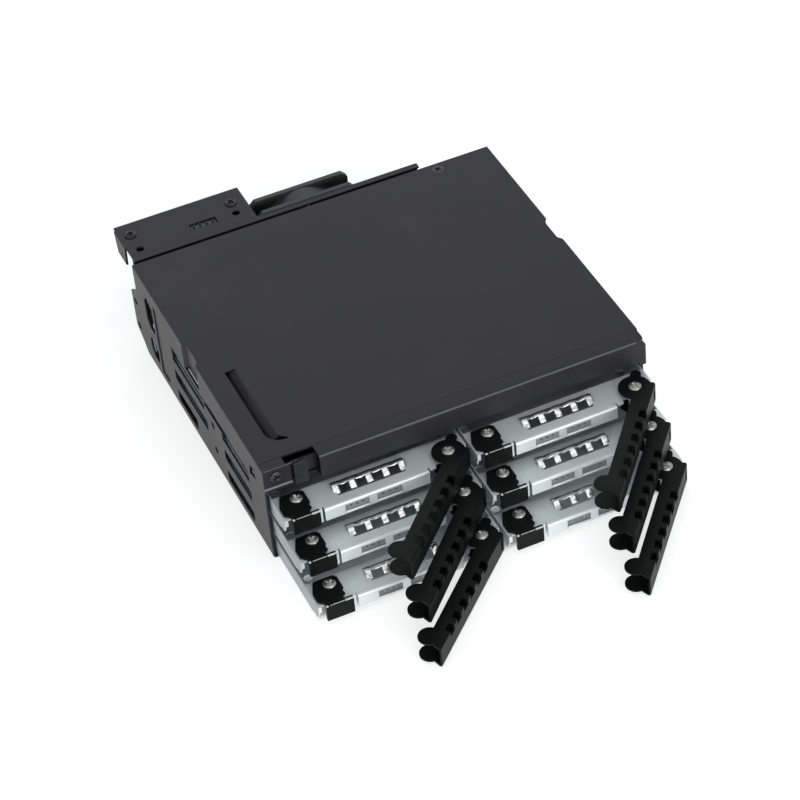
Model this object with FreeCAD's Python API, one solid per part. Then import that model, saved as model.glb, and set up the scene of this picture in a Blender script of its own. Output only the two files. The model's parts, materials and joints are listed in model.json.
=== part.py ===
import FreeCAD, Part
import os
from math import sin, cos, tan, radians

# Hot swap drive cage for one half height 5.25 inch bay: two columns of three 2.5 inch
# drive trays in a folded steel chassis, each tray with a folding lever and a sprung latch.
#
# Frame: +X to the right seen from the front, +Y to the back, +Z up.
# x = 0 is the middle of the cage, y = 0 the front edge of the top cover, z = 0 the underside.
# The trays are modelled where they stand: slid out in steps, with their levers swung open.

os.makedirs("parts", exist_ok=True)
V = FreeCAD.Vector

# ---------------------------------------------------------------- driving sizes, mm
row_count = 3

drive_width = 69.85             # a 2.5 inch drive
drive_length = 100.35
drive_side_gap = 0.025          # drive to tray wall
drive_plug_gap = 0.55           # drive's rear end to the socket body

chassis_sheet = 0.8
divider_sheet = 0.6
tray_sheet = 0.45
lever_sheet = 0.7
latch_sheet = 0.8
strip_sheet = 0.22

tray_divider_gap = 0.2
tray_wall_gap = 0.9
floor_gap = 0.3                 # chassis floor to the lowest tray
row_gap = 0.3                   # a screw head to the row above
upper_room = 7.9                # clear height between the deck and the cover
wall_reach = 4.0                # side walls ahead of the cover's front edge
bezel_reach = 6.5               # bezel face ahead of the cover's front edge
bezel_overhang = 0.8            # bezel sheet below the deck
seam_gap = 0.15                 # cover to bezel
cable_room = 9.65               # backplane to the cover's rear edge
panel_gap = 4.55                # cover's rear edge to the rear panel

pull_left = (13.8, 25.4, 38.1)      # how far each tray stands out, top row first
pull_right = (15.6, 26.8, 38.4)
open_left = (45.5, 46.0, 43.5)      # how far each lever is swung open, degrees
open_right = (50.3, 49.8, 49.5)

# ---------------------------------------------------------------- screws
screw_radius = 1.5
head_radius = 2.3
head_height = 0.9
head_gap = 0.02                 # seat to the underside of a head
running_gap = 0.05              # pivot screw to the hole that turns on it
free_gap = 0.1                  # screw to a plain hole
hex_across = 4.5                # standoffs, across the flats

# ---------------------------------------------------------------- tray sizes
drive_front = 8.0               # lever pivot to the drive's front end
tray_tail_gap = 1.35            # tray's rear edge ahead of the drive's rear end
tray_top = 7.0                  # top of the tray's front sheet above the tray's underside
tray_top_depth = 9.0            # front sheet, behind the pivot
tray_wall_start = 2.2           # side walls start behind the pivot
tray_floor_start = 5.6          # floor starts behind the lever's lower flange
tray_front_edge = 3.2           # front sheet beside the flange, ahead of the pivot
pivot_inset = 7.6               # screws, in from the tray's side walls
pivot_plate = 9.6               # six sided sheet under the pivot, clear of the turning web
lip_reach = 4.65                # front flange, ahead of the pivot
lip_height = 5.3
lip_bend = 0.8
lip_left_inset = 14.4           # flange's ends, in from the tray's side walls
lip_right_inset = 16.9
notch_width = 0.5
notch_depth = 2.2
panel_sink = 0.22               # sunk panels in the flange
panel_low = 0.9
panel_high = 1.3
panel_spans = ((-13.5, -4.5), (-1.5, 8.0))
pin_hole = 0.8
pin_drop = 2.4
tab_inset = 13.8                # rounded tab to the right of the flange
tab_reach = 4.2
tab_round = 1.2
catch_width = 2.6               # pierced catch at the flange's left end
catch_drop = 6.2
catch_hole = 1.1
cheek_reach = 3.0               # left wall, ahead of the pivot
cheek_low = 0.8
cheek_round = 2.6
cheek_lip_width = 1.2
cheek_lip_height = 2.6
latch_screw_back = 4.27         # latch screw, behind the pivot
drive_hole_rear = 14.0          # drive's rear base screws, from its rear end
drive_hole_pitch = 76.6
drive_hole_inset = 4.065        # drive's base screws, in from its sides
drive_hole_radius = 1.6
vent_width = 21.0
vent_middle = 6.0               # bar between the two columns of vents
vent_bar = 8.0                  # bar between the two rows of vents
vent_margin = 6.0               # screw hole to vent
vent_clip = 2.0

# ---------------------------------------------------------------- lever sizes
lever_lift = 0.1                # lever's underside above the tray's underside
lever_height = 8.7
lever_reach = 6.6               # pivot to the outside of the web
lever_tip_gap = 1.1             # tip of the web short of the latch screw's line
lever_fold = 0.5                # eased fold
lever_fin = 3.6                 # web behind the pivot
fin_slot_width = 1.5
fin_slot_height = 4.4
upper_disc = 6.0                # round end of the upper flange about the pivot
lower_end = 9.6                 # six sided end of the lower flange, across the flats
heel_reach = 7.0                # pivot to the middle of the cam heel
heel_side = 1.2
heel_radius = 1.9
ear_radius = 4.0
ear_back = 4.5                  # ear's middle, back from the tip
ear_side = -0.5
tip_step = 1.2
notch_half = 1.1                # thumb notch between ear and web
notch_side = -3.4
window_count = 6
window_first = 13.2
window_tip_gap = 10.3           # last window's middle, back from the tip
window_length = 3.7
window_side = 2.4               # part of the window in the flange
window_drop = 2.7               # part of the window in the web

# ---------------------------------------------------------------- finger strip sizes
finger_count = 5
finger_pitch = 6.25
finger_width = 2.5
finger_middle = -1.2            # middle of the strip from the tray's centre line
strip_back = 6.6
strip_crest_back = 5.3
strip_crest_front = 4.1
strip_front = -0.5
strip_foot = 0.8
strip_rise = 1.45
strip_window_back = 3.7
strip_window_front = 0.1
strip_hole_margin = 1.0

# ---------------------------------------------------------------- latch sizes
latch_gap = 0.14                # latch plate above the tray's front sheet
latch_left_inset = 0.6          # tip of the latch, in from the tray's side
latch_right_inset = 11.3
latch_back = 8.0
latch_front = 5.2
block_left_inset = 2.4
block_right_inset = 12.6
block_depth = 1.3
block_gap = 0.1                 # block above the lever's lower flange
latch_round = 0.9

# ---------------------------------------------------------------- cage sizes
rail_reach = 2.0
rail_leg_height = 1.8
rail_leg_sheet = 0.4
rail_sheet = 0.8
rail_front = 8.0
rail_gap = 0.1                  # ledge to the tray above it
rail_tail = 1.65                # rails and deck run on behind the drives

socket_width = 33.4
socket_height = 4.6
socket_depth = 3.5
socket_offset = -8.8            # from the tray's centre line
socket_lift = 1.0
socket_wall = 1.2
socket_slot_low = 1.3
socket_slot_height = 1.6
socket_slot_depth = 2.4
board_sheet = 1.6

mount_rear_gap = 2.45           # rear bay screws, ahead of the rear panel's back face
mount_pitch_y = 79.25           # 5.25 inch bay screws
mount_low_z = 10.0
mount_pitch_z = 11.84
mount_radius = 1.5

fan_size = 40.0
fan_depth = 10.0
fan_bore = 18.7
fan_foot = 0.5
fan_flange = 2.0
fan_duct_wall = 1.1
fan_hub = 11.0
fan_seat = 1.2
fan_shaft = 1.0
fan_blades = 7
blade_chord = 9.0
blade_pitch = 38.0
blade_sheet = 0.9
blade_gap = 0.5                 # blade tip to the duct

shelf_inset = 1.2               # shelf's left edge, in from the wall
shelf_fan_gap = 0.5             # shelf's right edge to the fan
shelf_depth = 20.5
shelf_drop = 1.0                # shelf below the cover's top
panel_right_inset = 26.7        # the panel steps down short of the right wall
panel_low_top = 26.0
panel_foot = 1.6
panel_lip = 2.6

# ---------------------------------------------------------------- worked out from the sizes
tray_half = drive_width / 2 + drive_side_gap + tray_sheet
column_x = divider_sheet / 2 + tray_divider_gap + tray_half
inner_half = column_x + tray_half + tray_wall_gap
cage_half = inner_half + chassis_sheet
pivot_offset = tray_half - pivot_inset

lever_top = lever_lift + lever_height
lever_length = 2 * pivot_offset - lever_tip_gap
row_pitch = lever_top + head_height + row_gap
first_row = chassis_sheet + floor_gap
bezel_low = first_row + row_count * row_pitch + rail_gap
deck_low = bezel_low + bezel_overhang
deck_top = deck_low + divider_sheet
cover_low = deck_top + upper_room
cage_height = cover_low + chassis_sheet

drive_rear = drive_front + drive_length
tray_length = drive_rear - tray_tail_gap
rail_back = drive_rear + rail_tail
socket_front = drive_rear + drive_plug_gap
board_front = socket_front + socket_depth
board_back = board_front + board_sheet
cover_depth = board_back + cable_room
panel_back = cover_depth + panel_gap + chassis_sheet
panel_face = panel_back - chassis_sheet
mount_rear_y = panel_back - mount_rear_gap
mount_front_y = mount_rear_y - mount_pitch_y
shelf_top = cage_height - shelf_drop
latch_low = tray_top + latch_gap
latch_top = latch_low + latch_sheet
shelf_left = shelf_inset - inner_half
shelf_right = -fan_size / 2 - shelf_fan_gap
far = 300.0                     # longer than the cage, for cutting right through
over = 1.0                      # how far a cutter stands past the sheet it cuts

fan_centre = (0.0, fan_foot + fan_size / 2)
row_floors = [first_row + row * row_pitch for row in range(row_count)]


# ---------------------------------------------------------------- helpers
def box(x0, x1, y0, y1, z0, z1):
    return Part.makeBox(x1 - x0, y1 - y0, z1 - z0, V(x0, y0, z0))


def tube(radius, axis, centre, low, high):
    # a cylinder along one axis; centre gives the other two coordinates in X, Y, Z order
    a, b = centre
    base = {"x": V(low, a, b), "y": V(a, low, b), "z": V(a, b, low)}[axis]
    way = {"x": V(1, 0, 0), "y": V(0, 1, 0), "z": V(0, 0, 1)}[axis]
    return Part.makeCylinder(radius, high - low, base, way)


def outline(corners, axis, level):
    # closed wire through corners (a, b) or (a, b, radius), rounded by true arcs
    def place(a, b):
        return {"x": V(level, a, b), "y": V(a, level, b), "z": V(a, b, level)}[axis]
    edges = []
    ends = []
    count = len(corners)
    for i in range(count):
        here = V(corners[i][0], corners[i][1], 0)
        before = V(corners[i - 1][0], corners[i - 1][1], 0)
        after = V(corners[(i + 1) % count][0], corners[(i + 1) % count][1], 0)
        radius = corners[i][2] if len(corners[i]) > 2 else 0
        if radius <= 0:
            ends.append((here, None, here))
            continue
        back = (before - here).normalize()
        ahead = (after - here).normalize()
        half = back.getAngle(ahead) / 2
        run = radius / tan(half)
        middle = back + ahead
        middle.normalize()
        centre = here + middle * (radius / sin(half))
        ends.append((here + back * run, centre - middle * radius, here + ahead * run))
    for i in range(count):
        start, top, end = ends[i]
        if top is not None:
            edges.append(Part.Arc(place(start.x, start.y), place(top.x, top.y),
                                  place(end.x, end.y)).toShape())
        following = ends[(i + 1) % count][0]
        if (following - end).Length > 1e-6:
            edges.append(Part.LineSegment(place(end.x, end.y), place(following.x, following.y)).toShape())
    return Part.Wire(edges)


def prism(corners, axis, low, high):
    way = {"x": V(1, 0, 0), "y": V(0, 1, 0), "z": V(0, 0, 1)}[axis]
    return Part.Face(outline(corners, axis, low)).extrude(way * (high - low))


def clipped(a0, a1, b0, b1, clip, axis, low, high):
    # a rectangle with its corners cut at 45 degrees, extruded along one axis
    return prism([
        (a0 + clip, b0), (a1 - clip, b0), (a1, b0 + clip), (a1, b1 - clip),
        (a1 - clip, b1), (a0 + clip, b1), (a0, b1 - clip), (a0, b0 + clip),
    ], axis, low, high)


def hexagon(across, x, y, low, high):
    # upright hexagonal bar, flats facing front and back
    point = across / 2 / cos(radians(30))
    corners = [(x + point * cos(radians(60 * k)), y + point * sin(radians(60 * k))) for k in range(6)]
    return prism(corners, "z", low, high)


def join(shapes):
    whole = shapes[0].fuse(shapes[1:]) if len(shapes) > 1 else shapes[0]
    return whole.removeSplitter()


def mirrored(shape):
    return shape.mirror(V(0, 0, 0), V(1, 0, 0))


def both_sides(shape):
    return [shape, mirrored(shape)]


def save(name, shape):
    solids = shape.Solids
    result = solids[0] if len(solids) == 1 else Part.makeCompound(solids)
    if not result.isValid():
        print("not valid:", name)
    result.exportStep("parts/" + name + ".step")
    print(name, len(solids), round(sum(s.Volume for s in solids), 1))


# ---------------------------------------------------------------- tray
# Each tray is drawn with the lever pivot at y = 0, its centre line at x = 0 and its
# underside at z = 0, then moved to its row and column.
low_sheet = tray_top - tray_sheet
lip_low = tray_top - lip_height
lip_back = tray_sheet - lip_reach
lip_left = lip_left_inset - tray_half
lip_right = tray_half - lip_right_inset
tab_right = tray_half - tab_inset
latch_screw = (-pivot_offset, latch_screw_back)
pivot_screw = (pivot_offset, 0)


def make_tray_front():
    # front sheet with its rounded tab, relief notches and the plate under the pivot
    notch_end = notch_depth - lip_reach
    plan = [
        (-tray_half, tray_top_depth), (-tray_half, -tray_front_edge),
        (lip_left - notch_width, -tray_front_edge),
        (lip_left - notch_width, notch_end), (lip_left, notch_end), (lip_left, -tray_front_edge),
        (lip_right, -tray_front_edge),
        (lip_right, notch_end), (lip_right + notch_width, notch_end),
        (lip_right + notch_width, -tab_reach, tab_round / 2),
        (tab_right, -tab_reach, tab_round), (tab_right, -tray_wall_start), (pivot_offset, -tray_wall_start),
        (pivot_offset, tray_wall_start), (tray_half, tray_wall_start), (tray_half, tray_top_depth),
    ]
    sheet = prism(plan, "z", low_sheet, tray_top)
    under_pivot = hexagon(pivot_plate, *pivot_screw, low_sheet, tray_top)
    flange = prism([
        (-tray_front_edge, tray_top), (-lip_reach, tray_top, lip_bend), (-lip_reach, lip_low),
        (lip_back, lip_low),
        (lip_back, low_sheet), (-tray_front_edge, low_sheet),
    ], "x", lip_left, lip_right)
    for x0, x1 in panel_spans:
        front = -lip_reach
        cuts = [box(x0, x1, front - over, front + panel_sink, lip_low + panel_low, tray_top - panel_high)]
        for k in (1, 2, 3):
            x = x0 + (x1 - x0) * k / 4
            z = tray_top - pin_drop
            cuts.append(box(x - pin_hole / 2, x + pin_hole / 2, front - over, lip_back + over,
                            z - pin_hole / 2, z + pin_hole / 2))
        flange = flange.cut(cuts)
    return join([sheet, under_pivot, flange])


def make_tray_cheek():
    # left wall carried forward beside the latch, with a small lip round its front, and the
    # pierced catch at the flange's left end
    wall = prism([
        (tray_wall_start, tray_top), (-cheek_reach, tray_top), (-cheek_reach, cheek_low, cheek_round),
        (tray_wall_start, cheek_low),
    ], "x", -tray_half, -tray_half + tray_sheet)
    front = -tray_front_edge
    lip = box(-tray_half, -tray_half + cheek_lip_width, front - tray_sheet, front,
              tray_top - cheek_lip_height, tray_top)
    right = lip_left - notch_width
    middle = right - catch_width / 2
    hole_low = tray_top - catch_drop + catch_hole
    catch = box(right - catch_width, right, front - tray_sheet, front, tray_top - catch_drop, tray_top)
    hole = box(middle - catch_hole / 2, middle + catch_hole / 2, front - over, front + over, hole_low,
               hole_low + catch_hole)
    return [wall, lip, catch.cut(hole)]


def make_tray():
    side = box(tray_half - tray_sheet, tray_half, tray_wall_start, tray_length, 0, tray_top)
    floor = box(-tray_half, tray_half, tray_floor_start, tray_length, 0, tray_sheet)
    body = join([make_tray_front(), floor] + make_tray_cheek() + both_sides(side))

    # floor vents and the drive's screw holes
    rear = drive_rear - drive_hole_rear
    front = rear - drive_hole_pitch
    middle = (front + rear) / 2
    cuts = []
    for y0, y1 in ((front + vent_margin, middle - vent_bar / 2), (middle + vent_bar / 2, rear - vent_margin)):
        cuts.extend(both_sides(box(vent_middle / 2, vent_middle / 2 + vent_width, y0, y1, -over,
                                   tray_sheet + over)))
    for y in (front, rear):
        cuts.extend(both_sides(tube(drive_hole_radius, "z", (drive_width / 2 - drive_hole_inset, y),
                                    -over, tray_sheet + over)))
    # opening under the finger strip
    half_strip = strip_half_length() - strip_hole_margin
    cuts.append(box(finger_middle - half_strip, finger_middle + half_strip, strip_front + strip_foot / 2,
                    strip_crest_back,
                    low_sheet - over, tray_top + over))
    body = body.cut(cuts)

    # hexagonal standoffs for the pivot screw and the latch screw, and the stub that the
    # lever's lower flange turns on
    post_low = lever_lift + lever_sheet + running_gap
    posts = [
        hexagon(hex_across, *pivot_screw, post_low, lever_top - lever_sheet - running_gap),
        hexagon(hex_across, *latch_screw, post_low, latch_low - running_gap),
        tube(screw_radius, "z", pivot_screw, lever_lift, post_low),
    ]
    return join([body] + posts)


def strip_half_length():
    return (finger_count - 1) / 2 * finger_pitch + finger_width / 2


def make_finger_strip():
    # an arched spring strip: a closed crest behind, tongues running forward and down
    crest = tray_top + strip_rise
    t = strip_sheet
    half = strip_half_length()
    arch = prism([
        (strip_front, tray_top), (strip_front + strip_foot, tray_top), (strip_crest_front, crest - t),
        (strip_crest_back, crest - t), (strip_back - t, tray_top), (strip_back, tray_top),
        (strip_crest_back + t, crest), (strip_crest_front, crest), (strip_front, tray_top + t),
    ], "x", finger_middle - half, finger_middle + half)
    gap = finger_pitch - finger_width
    cuts = []
    for k in range(finger_count - 1):
        x = finger_middle - half + finger_width + k * finger_pitch
        cuts.append(box(x, x + gap, strip_window_front, strip_window_back, tray_top - over, crest + over))
    return arch.cut(cuts)


def pan_screw(x, y, seat, depth):
    # pan head screw: seat is the level under the head, depth the shank below it
    head = tube(head_radius, "z", (x, y), seat, seat + head_height)
    return head.fuse(tube(screw_radius, "z", (x, y), seat - depth, seat))


def make_tray_screws():
    # the shanks end on the standoffs
    pivot = pan_screw(*pivot_screw, lever_top + head_gap, head_gap + lever_sheet + running_gap)
    latch = pan_screw(*latch_screw, latch_top + head_gap, head_gap + latch_sheet + running_gap)
    return Part.makeCompound([pivot, latch])


# ---------------------------------------------------------------- lever and latch
def make_lever():
    # a channel with its web to the front and both flanges reaching back; drawn closed, with
    # the pivot at the origin of x and y and the arm along -X
    web_in = lever_sheet - lever_reach
    top = lever_top
    low = lever_lift
    back = heel_reach
    fold = lever_fold
    channel = prism([
        (back, top), (fold - lever_reach, top), (-lever_reach, top - fold), (-lever_reach, low + fold),
        (fold - lever_reach, low), (back, low), (back, low + lever_sheet), (web_in, low + lever_sheet),
        (web_in, top - lever_sheet), (back, top - lever_sheet),
    ], "x", -lever_length, upper_disc + over)

    # plan of the arm: the web's fin to the right, a V notch between ear and web at the tip
    ear_centre = lever_length - ear_back
    arm = prism([
        (lever_fin, -lever_reach - over), (-lever_length, -lever_reach - over),
        (-lever_length, tip_step - lever_reach),
        (notch_half - lever_length, notch_side), (-ear_centre - notch_half, ear_side), (-upper_disc, 0),
        (lever_fin, 0),
    ], "z", low, top)
    ear = tube(ear_radius, "z", (-ear_centre, ear_side), low, top)
    upper = tube(upper_disc, "z", (0, 0), (low + top) / 2, top)
    lower = hexagon(lower_end, 0, 0, low, (low + top) / 2)
    lever = channel.common(join([arm, ear, upper, lower]))

    # cam heel on the upper flange
    heel = join([
        tube(heel_radius, "z", (heel_reach, heel_side), top - lever_sheet, top),
        box(0, heel_reach, heel_side - heel_radius, heel_side + heel_radius, top - lever_sheet, top),
    ])
    cuts = [tube(screw_radius + running_gap, "z", (0, 0), -over, far)]
    # square windows across the upper fold
    window_pitch = (lever_length - window_tip_gap - window_first) / (window_count - 1)
    for k in range(window_count):
        x = -(window_first + k * window_pitch)
        cuts.append(box(x - window_length / 2, x + window_length / 2, -lever_reach - over,
                        window_side - lever_reach,
                        top - window_drop, top + over))
    # upright slot in the fin
    middle = (low + top) / 2
    cuts.append(box(lever_fin / 2 - fin_slot_width / 2, lever_fin / 2 + fin_slot_width / 2,
                    -lever_reach - over, 0,
                    middle - fin_slot_height / 2, middle + fin_slot_height / 2))
    return join([lever, heel]).cut(cuts)


def make_latch():
    # a plate over the tray's front sheet with a block folded down in front
    tip = latch_left_inset - tray_half
    right = latch_right_inset - tray_half
    block_left = block_left_inset - tray_half
    block_right = block_right_inset - tray_half
    block_low = lever_lift + lever_sheet + block_gap
    r = latch_round
    plate = prism([
        (tip + 2.4 * r, latch_back, r), (right - 1.3 * r, latch_back, r), (right, latch_back - 1.5 * r),
        (right, r), (right - r, 0.2 * r), (right - r / 2, -2 * r), (right - 2 * r, -3 * r),
        (right - 2 * r, -latch_front), (block_left + r, -latch_front),
        (block_left + r / 2, 2 * r - latch_front),
        (tip, -1.5 * r), (tip, 3 * r),
    ], "z", latch_low, latch_top)
    front = -latch_front
    block = prism([
        (front, block_low), (front, latch_top - r / 2), (front + r / 2, latch_top),
        (front + block_depth, latch_top), (front + block_depth, block_low),
    ], "x", block_left, block_right)
    hole = tube(screw_radius + running_gap, "z", latch_screw, latch_low - over, latch_top + over)
    return join([plate, block]).cut(hole)


# ---------------------------------------------------------------- chassis and cover
pressed_start = 58.5            # patch pressed into both walls and the cover's edge
pressed_end = 72.5
pressed_slope = 2.0
pressed_depth = 1.4
pressed_low = 30.0
pressed_gap = 0.35

slot_front = 12.0               # long wall slots
slot_mid_gap = 9.8              # front slots end ahead of the front bay screws
slot_low = 2.6
slot_height = 5.0
slot_clip = 0.8
slot_tail = 21.3                # slots end ahead of the drives' rear ends
plate_gaps = (19.7, 6.7)        # slots start again behind those screws, lowest row first
upper_slot_grow = 0.6
upper_slot_step = 2.9
upper_step_gap = 7.7
slot_mid = mount_front_y - slot_mid_gap

vent_ahead = 2.3                # rear openings, ahead of the drives' rear ends
vent_depth = 8.0
vent_cut = 3.0
vent_bands = ((6.0, 16.0), (20.0, 35.0))
rib_ahead = 12.3
rib_depth = 8.0
rib_low = 4.0
rib_high = 36.0
heel_slot_ahead = 0.5
heel_slot_behind = 3.0
heel_slot_gap = 0.25

tail_reach = 0.7                # floor behind the rear panel
tail_low = 8.0
tail_high = 25.0
foot_rise = 4.5
foot_run = 4.7
fold_round = 1.2
lug_width = 7.7                 # flanges folded in behind the front pieces
lug_gap = 0.4
corner_hole_depth = 5.5         # four-sided hole in the right wall behind the corner
corner_hole_rise = 5.0
corner_hole_skew = 1.0
corner_screw = (4.7 - cage_half, cover_low - 2.9)


def pressed_plan(outer, inner):
    # plan of the pressed-in patch in the right wall
    a = pressed_start - pressed_gap
    b = pressed_end + pressed_gap
    return [
        (outer, a), (outer - pressed_depth, a + pressed_slope),
        (outer - pressed_depth, b - pressed_slope), (outer, b),
        (inner, b), (inner - pressed_depth, b - pressed_slope),
        (inner - pressed_depth, a + pressed_slope), (inner, a),
    ]


def wall_slot(y0, y1, z0, z1):
    return clipped(y0, y1, z0, z1, slot_clip, "x", -far, far)


def heel_slots():
    # slots that the cam heels reach into when the trays are home
    slots = []
    for floor in row_floors:
        z = floor + lever_top - lever_sheet
        slots.append(box(0, far, heel_side - heel_radius - heel_slot_ahead,
                         heel_side + heel_radius + heel_slot_behind,
                         z - heel_slot_gap, z + lever_sheet + heel_slot_gap))
    return slots


def make_chassis():
    half = cage_half
    inner = inner_half
    tail = panel_back + chassis_sheet + tail_reach
    section = prism([
        (-half, cover_low), (-half, 0, fold_round), (half, 0, fold_round), (half, cover_low),
        (inner, cover_low), (inner, chassis_sheet), (-inner, chassis_sheet), (-inner, cover_low),
    ], "y", -wall_reach, tail)
    side = prism([
        (-wall_reach, 0), (cover_depth - foot_run, 0), (cover_depth + fold_round, foot_rise),
        (tail, tail_low),
        (tail, tail_high), (cover_depth, tail_high + foot_rise), (cover_depth, cover_low),
        (-wall_reach, cover_low),
    ], "x", -half, half)
    body = section.common(side)

    # three rows of long slots, with a plate left between them for the bay screws
    slot_back = drive_rear - slot_tail
    cuts = []
    for floor, gap in zip(row_floors, plate_gaps):
        low = floor + slot_low
        cuts.append(wall_slot(slot_front, slot_mid, low, low + slot_height))
        cuts.append(wall_slot(mount_front_y + gap, slot_back, low, low + slot_height))
    low = row_floors[-1] + slot_low - upper_slot_grow
    high = low + slot_height + 2 * upper_slot_grow
    step_end = mount_front_y + upper_step_gap
    cuts.append(prism([
        (slot_front, low), (slot_mid, low), (slot_mid, high - upper_slot_step),
        (step_end, high - upper_slot_step),
        (step_end, low), (slot_back, low), (slot_back, high), (slot_front, high),
    ], "x", -far, far))

    # openings near the back wall and the small one at the front corner
    a = drive_rear - vent_ahead
    b = a + vent_depth
    for z0, z1 in vent_bands:
        cuts.append(prism([(a, z0), (b - vent_cut, z0), (b, z0 + vent_cut), (b, z1 - vent_cut),
                           (b - vent_cut, z1), (a, z1 - vent_cut)],
                          "x", -far, far))
    front = wall_reach
    skew = corner_hole_skew
    cuts.append(prism([(front, pressed_low + skew), (front + corner_hole_depth, pressed_low),
                       (front + corner_hole_depth - skew / 2, pressed_low + corner_hole_rise - skew),
                       (front + 1.5 * skew, pressed_low + corner_hole_rise)],
                      "x", -far, far))
    for y in (mount_front_y, mount_rear_y):
        for z in (mount_low_z, mount_low_z + mount_pitch_z):
            cuts.append(tube(mount_radius, "x", (y, z), -far, far))
    cuts.extend(heel_slots())
    rib_front = drive_rear - rib_ahead
    rib = box(half - chassis_sheet / 2, half + over, rib_front, rib_front + rib_depth, rib_low, rib_high)
    cuts.extend(both_sides(rib))

    # patch pressed into both side walls
    patch = prism(pressed_plan(half, inner), "z", pressed_low, cover_low)
    gap = box(inner - over, half + over, pressed_start - pressed_gap, pressed_end + pressed_gap,
              pressed_low, far)
    cuts.extend(both_sides(gap))
    # lugs folded in behind the bezel and the corner bracket
    lug = box(inner - lug_width, inner, -wall_reach, chassis_sheet - wall_reach, deck_top + lug_gap,
              cover_low - lug_gap)
    hole = tube(screw_radius + free_gap, "y", corner_screw, -far, 0)
    return join([body.cut(cuts)] + both_sides(patch) + both_sides(lug)).cut(hole)


flap_left = 8.0 - cage_half     # lanced slot in the cover
flap_width = 4.0
flap_front = 7.6
flap_back = 50.5
flap_depth = 2.4
flap_round = 6.0
flap_hook = 2.8
hook_width = 0.8
lip_spans = ((3.0, 55.0), (76.0, rail_back))    # cover's edges folded down inside the walls
cover_lip = 4.5
cover_screw = (cage_half - 22.3, cover_depth - 3.35)
cover_screw_radius = 1.25
cover_screw_head = 2.3


def make_top_cover():
    half = cage_half
    flap_right = flap_left + flap_width
    plate = box(-half, half, 0, cover_depth, cover_low, cage_height)
    # edge pressed in with the wall
    bite = prism([
        (half + over, pressed_start - over), (half, pressed_start),
        (half - pressed_depth, pressed_start + pressed_slope),
        (half - pressed_depth, pressed_end - pressed_slope), (half, pressed_end),
        (half + over, pressed_end + over),
    ], "z", cover_low - over, cage_height + over)
    # lanced slot: a straight cut that turns right at the front
    hook_end = flap_right + flap_hook
    slot = prism([
        (flap_left, flap_back), (flap_left, flap_front, flap_round), (hook_end, flap_front),
        (hook_end, flap_front + hook_width),
        (flap_right, flap_front + 4 * hook_width, 2 * hook_width), (flap_right, flap_back),
    ], "z", cover_low - over, cage_height + over)
    seat = Part.makeCone(cover_screw_radius + free_gap, cover_screw_head + free_gap, chassis_sheet,
                         V(*cover_screw, cover_low))
    cover = plate.cut(both_sides(bite) + [slot, seat])
    # the sheet beside the slot bends down towards it
    knee = flap_right - flap_width / 2
    knee_drop = flap_depth / 3
    toe = flap_left + flap_width / 8
    flap = prism([
        (flap_right, cage_height), (knee, cage_height - knee_drop), (toe, cage_height - flap_depth),
        (toe, cover_low - flap_depth), (knee, cover_low - knee_drop), (flap_right, cover_low),
    ], "y", flap_front + 3 * hook_width, flap_back - hook_width / 2)
    lips = []
    for y0, y1 in lip_spans:
        lips.extend(both_sides(box(inner_half - chassis_sheet, inner_half, y0, y1, cover_low - cover_lip,
                                   cover_low)))
    return join([cover, flap] + lips)


def make_cover_screw():
    x, y = cover_screw
    head_low = cover_low + running_gap
    head = Part.makeCone(cover_screw_radius, cover_screw_head, chassis_sheet - 2 * running_gap,
                         V(x, y, head_low))
    return join([head, tube(cover_screw_radius, "z", (x, y), head_low - 3 * chassis_sheet, head_low)])


# ---------------------------------------------------------------- front pieces
bezel_left = 20.5 - cage_half
bezel_sheet = 0.8
bezel_round = 0.9
bezel_side_gap = 0.2
wrap_width = 2.5                # bezel's right end, in front of the side wall
wrap_low = 30.0
wrap_clip = 2.2
wrap_gap = 0.1
bracket_right = 10.5 - cage_half
bracket_sheet = 0.7
bracket_step = 1.7
strip_right = 13.5 - cage_half
ridge_height = 0.55
ridge_low = 0.9                 # ridge above the bezel's lower edge
ridge_width = 1.3
slider_left = 11.0 - cage_half
slider_width = 5.0
slider_low = 1.0
slider_sheet = 1.2
slider_stem = 6.8
slider_blade = 1.0
slider_blade_reach = 7.0        # room past the tab that the blade covers
slider_inset = 0.3


def make_front_bezel():
    face = -bezel_reach
    back = -seam_gap
    channel = prism([
        (back, cage_height), (face, cage_height, bezel_round), (face, bezel_low, bezel_round),
        (back, bezel_low),
        (back, bezel_low + bezel_sheet), (face + bezel_sheet, bezel_low + bezel_sheet),
        (face + bezel_sheet, cover_low), (back, cover_low),
    ], "x", bezel_left, inner_half - bezel_side_gap)
    front = cage_half - wrap_width
    inside = front - over
    end = prism([
        (inside, cage_height), (cage_half - wrap_clip, cage_height), (cage_half, cage_height - wrap_clip),
        (cage_half, wrap_low), (front, wrap_low), (front, bezel_low), (inside, bezel_low),
    ], "y", face, -wall_reach - wrap_gap)
    slope = prism([
        (inside, cover_low), (cage_half - wrap_clip + chassis_sheet, cover_low),
        (cage_half - wrap_clip, cage_height), (inside, cage_height),
    ], "y", -wall_reach - wrap_gap, back)
    return join([channel, end, slope])


def make_corner_bracket():
    face = -wall_reach - bracket_sheet
    left = -cage_half
    plate = box(left, bracket_right, face, -wall_reach, bezel_low, cage_height)
    top = box(left, bracket_right - bracket_step, -wall_reach, -seam_gap, cover_low, cage_height)
    strip = box(left, strip_right, face, -wall_reach, cover_low, cage_height)
    low = bezel_low + ridge_low
    ridge = prism([
        (face, low + ridge_width), (face - ridge_height, low + ridge_width / 2 + ridge_height / 2),
        (face - ridge_height, low + ridge_width / 2 - ridge_height / 2), (face, low),
    ], "x", left, bracket_right)
    hole = tube(screw_radius + free_gap, "y", corner_screw, face - over, over - wall_reach)
    return join([plate, top, strip, ridge]).cut(hole)


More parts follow.
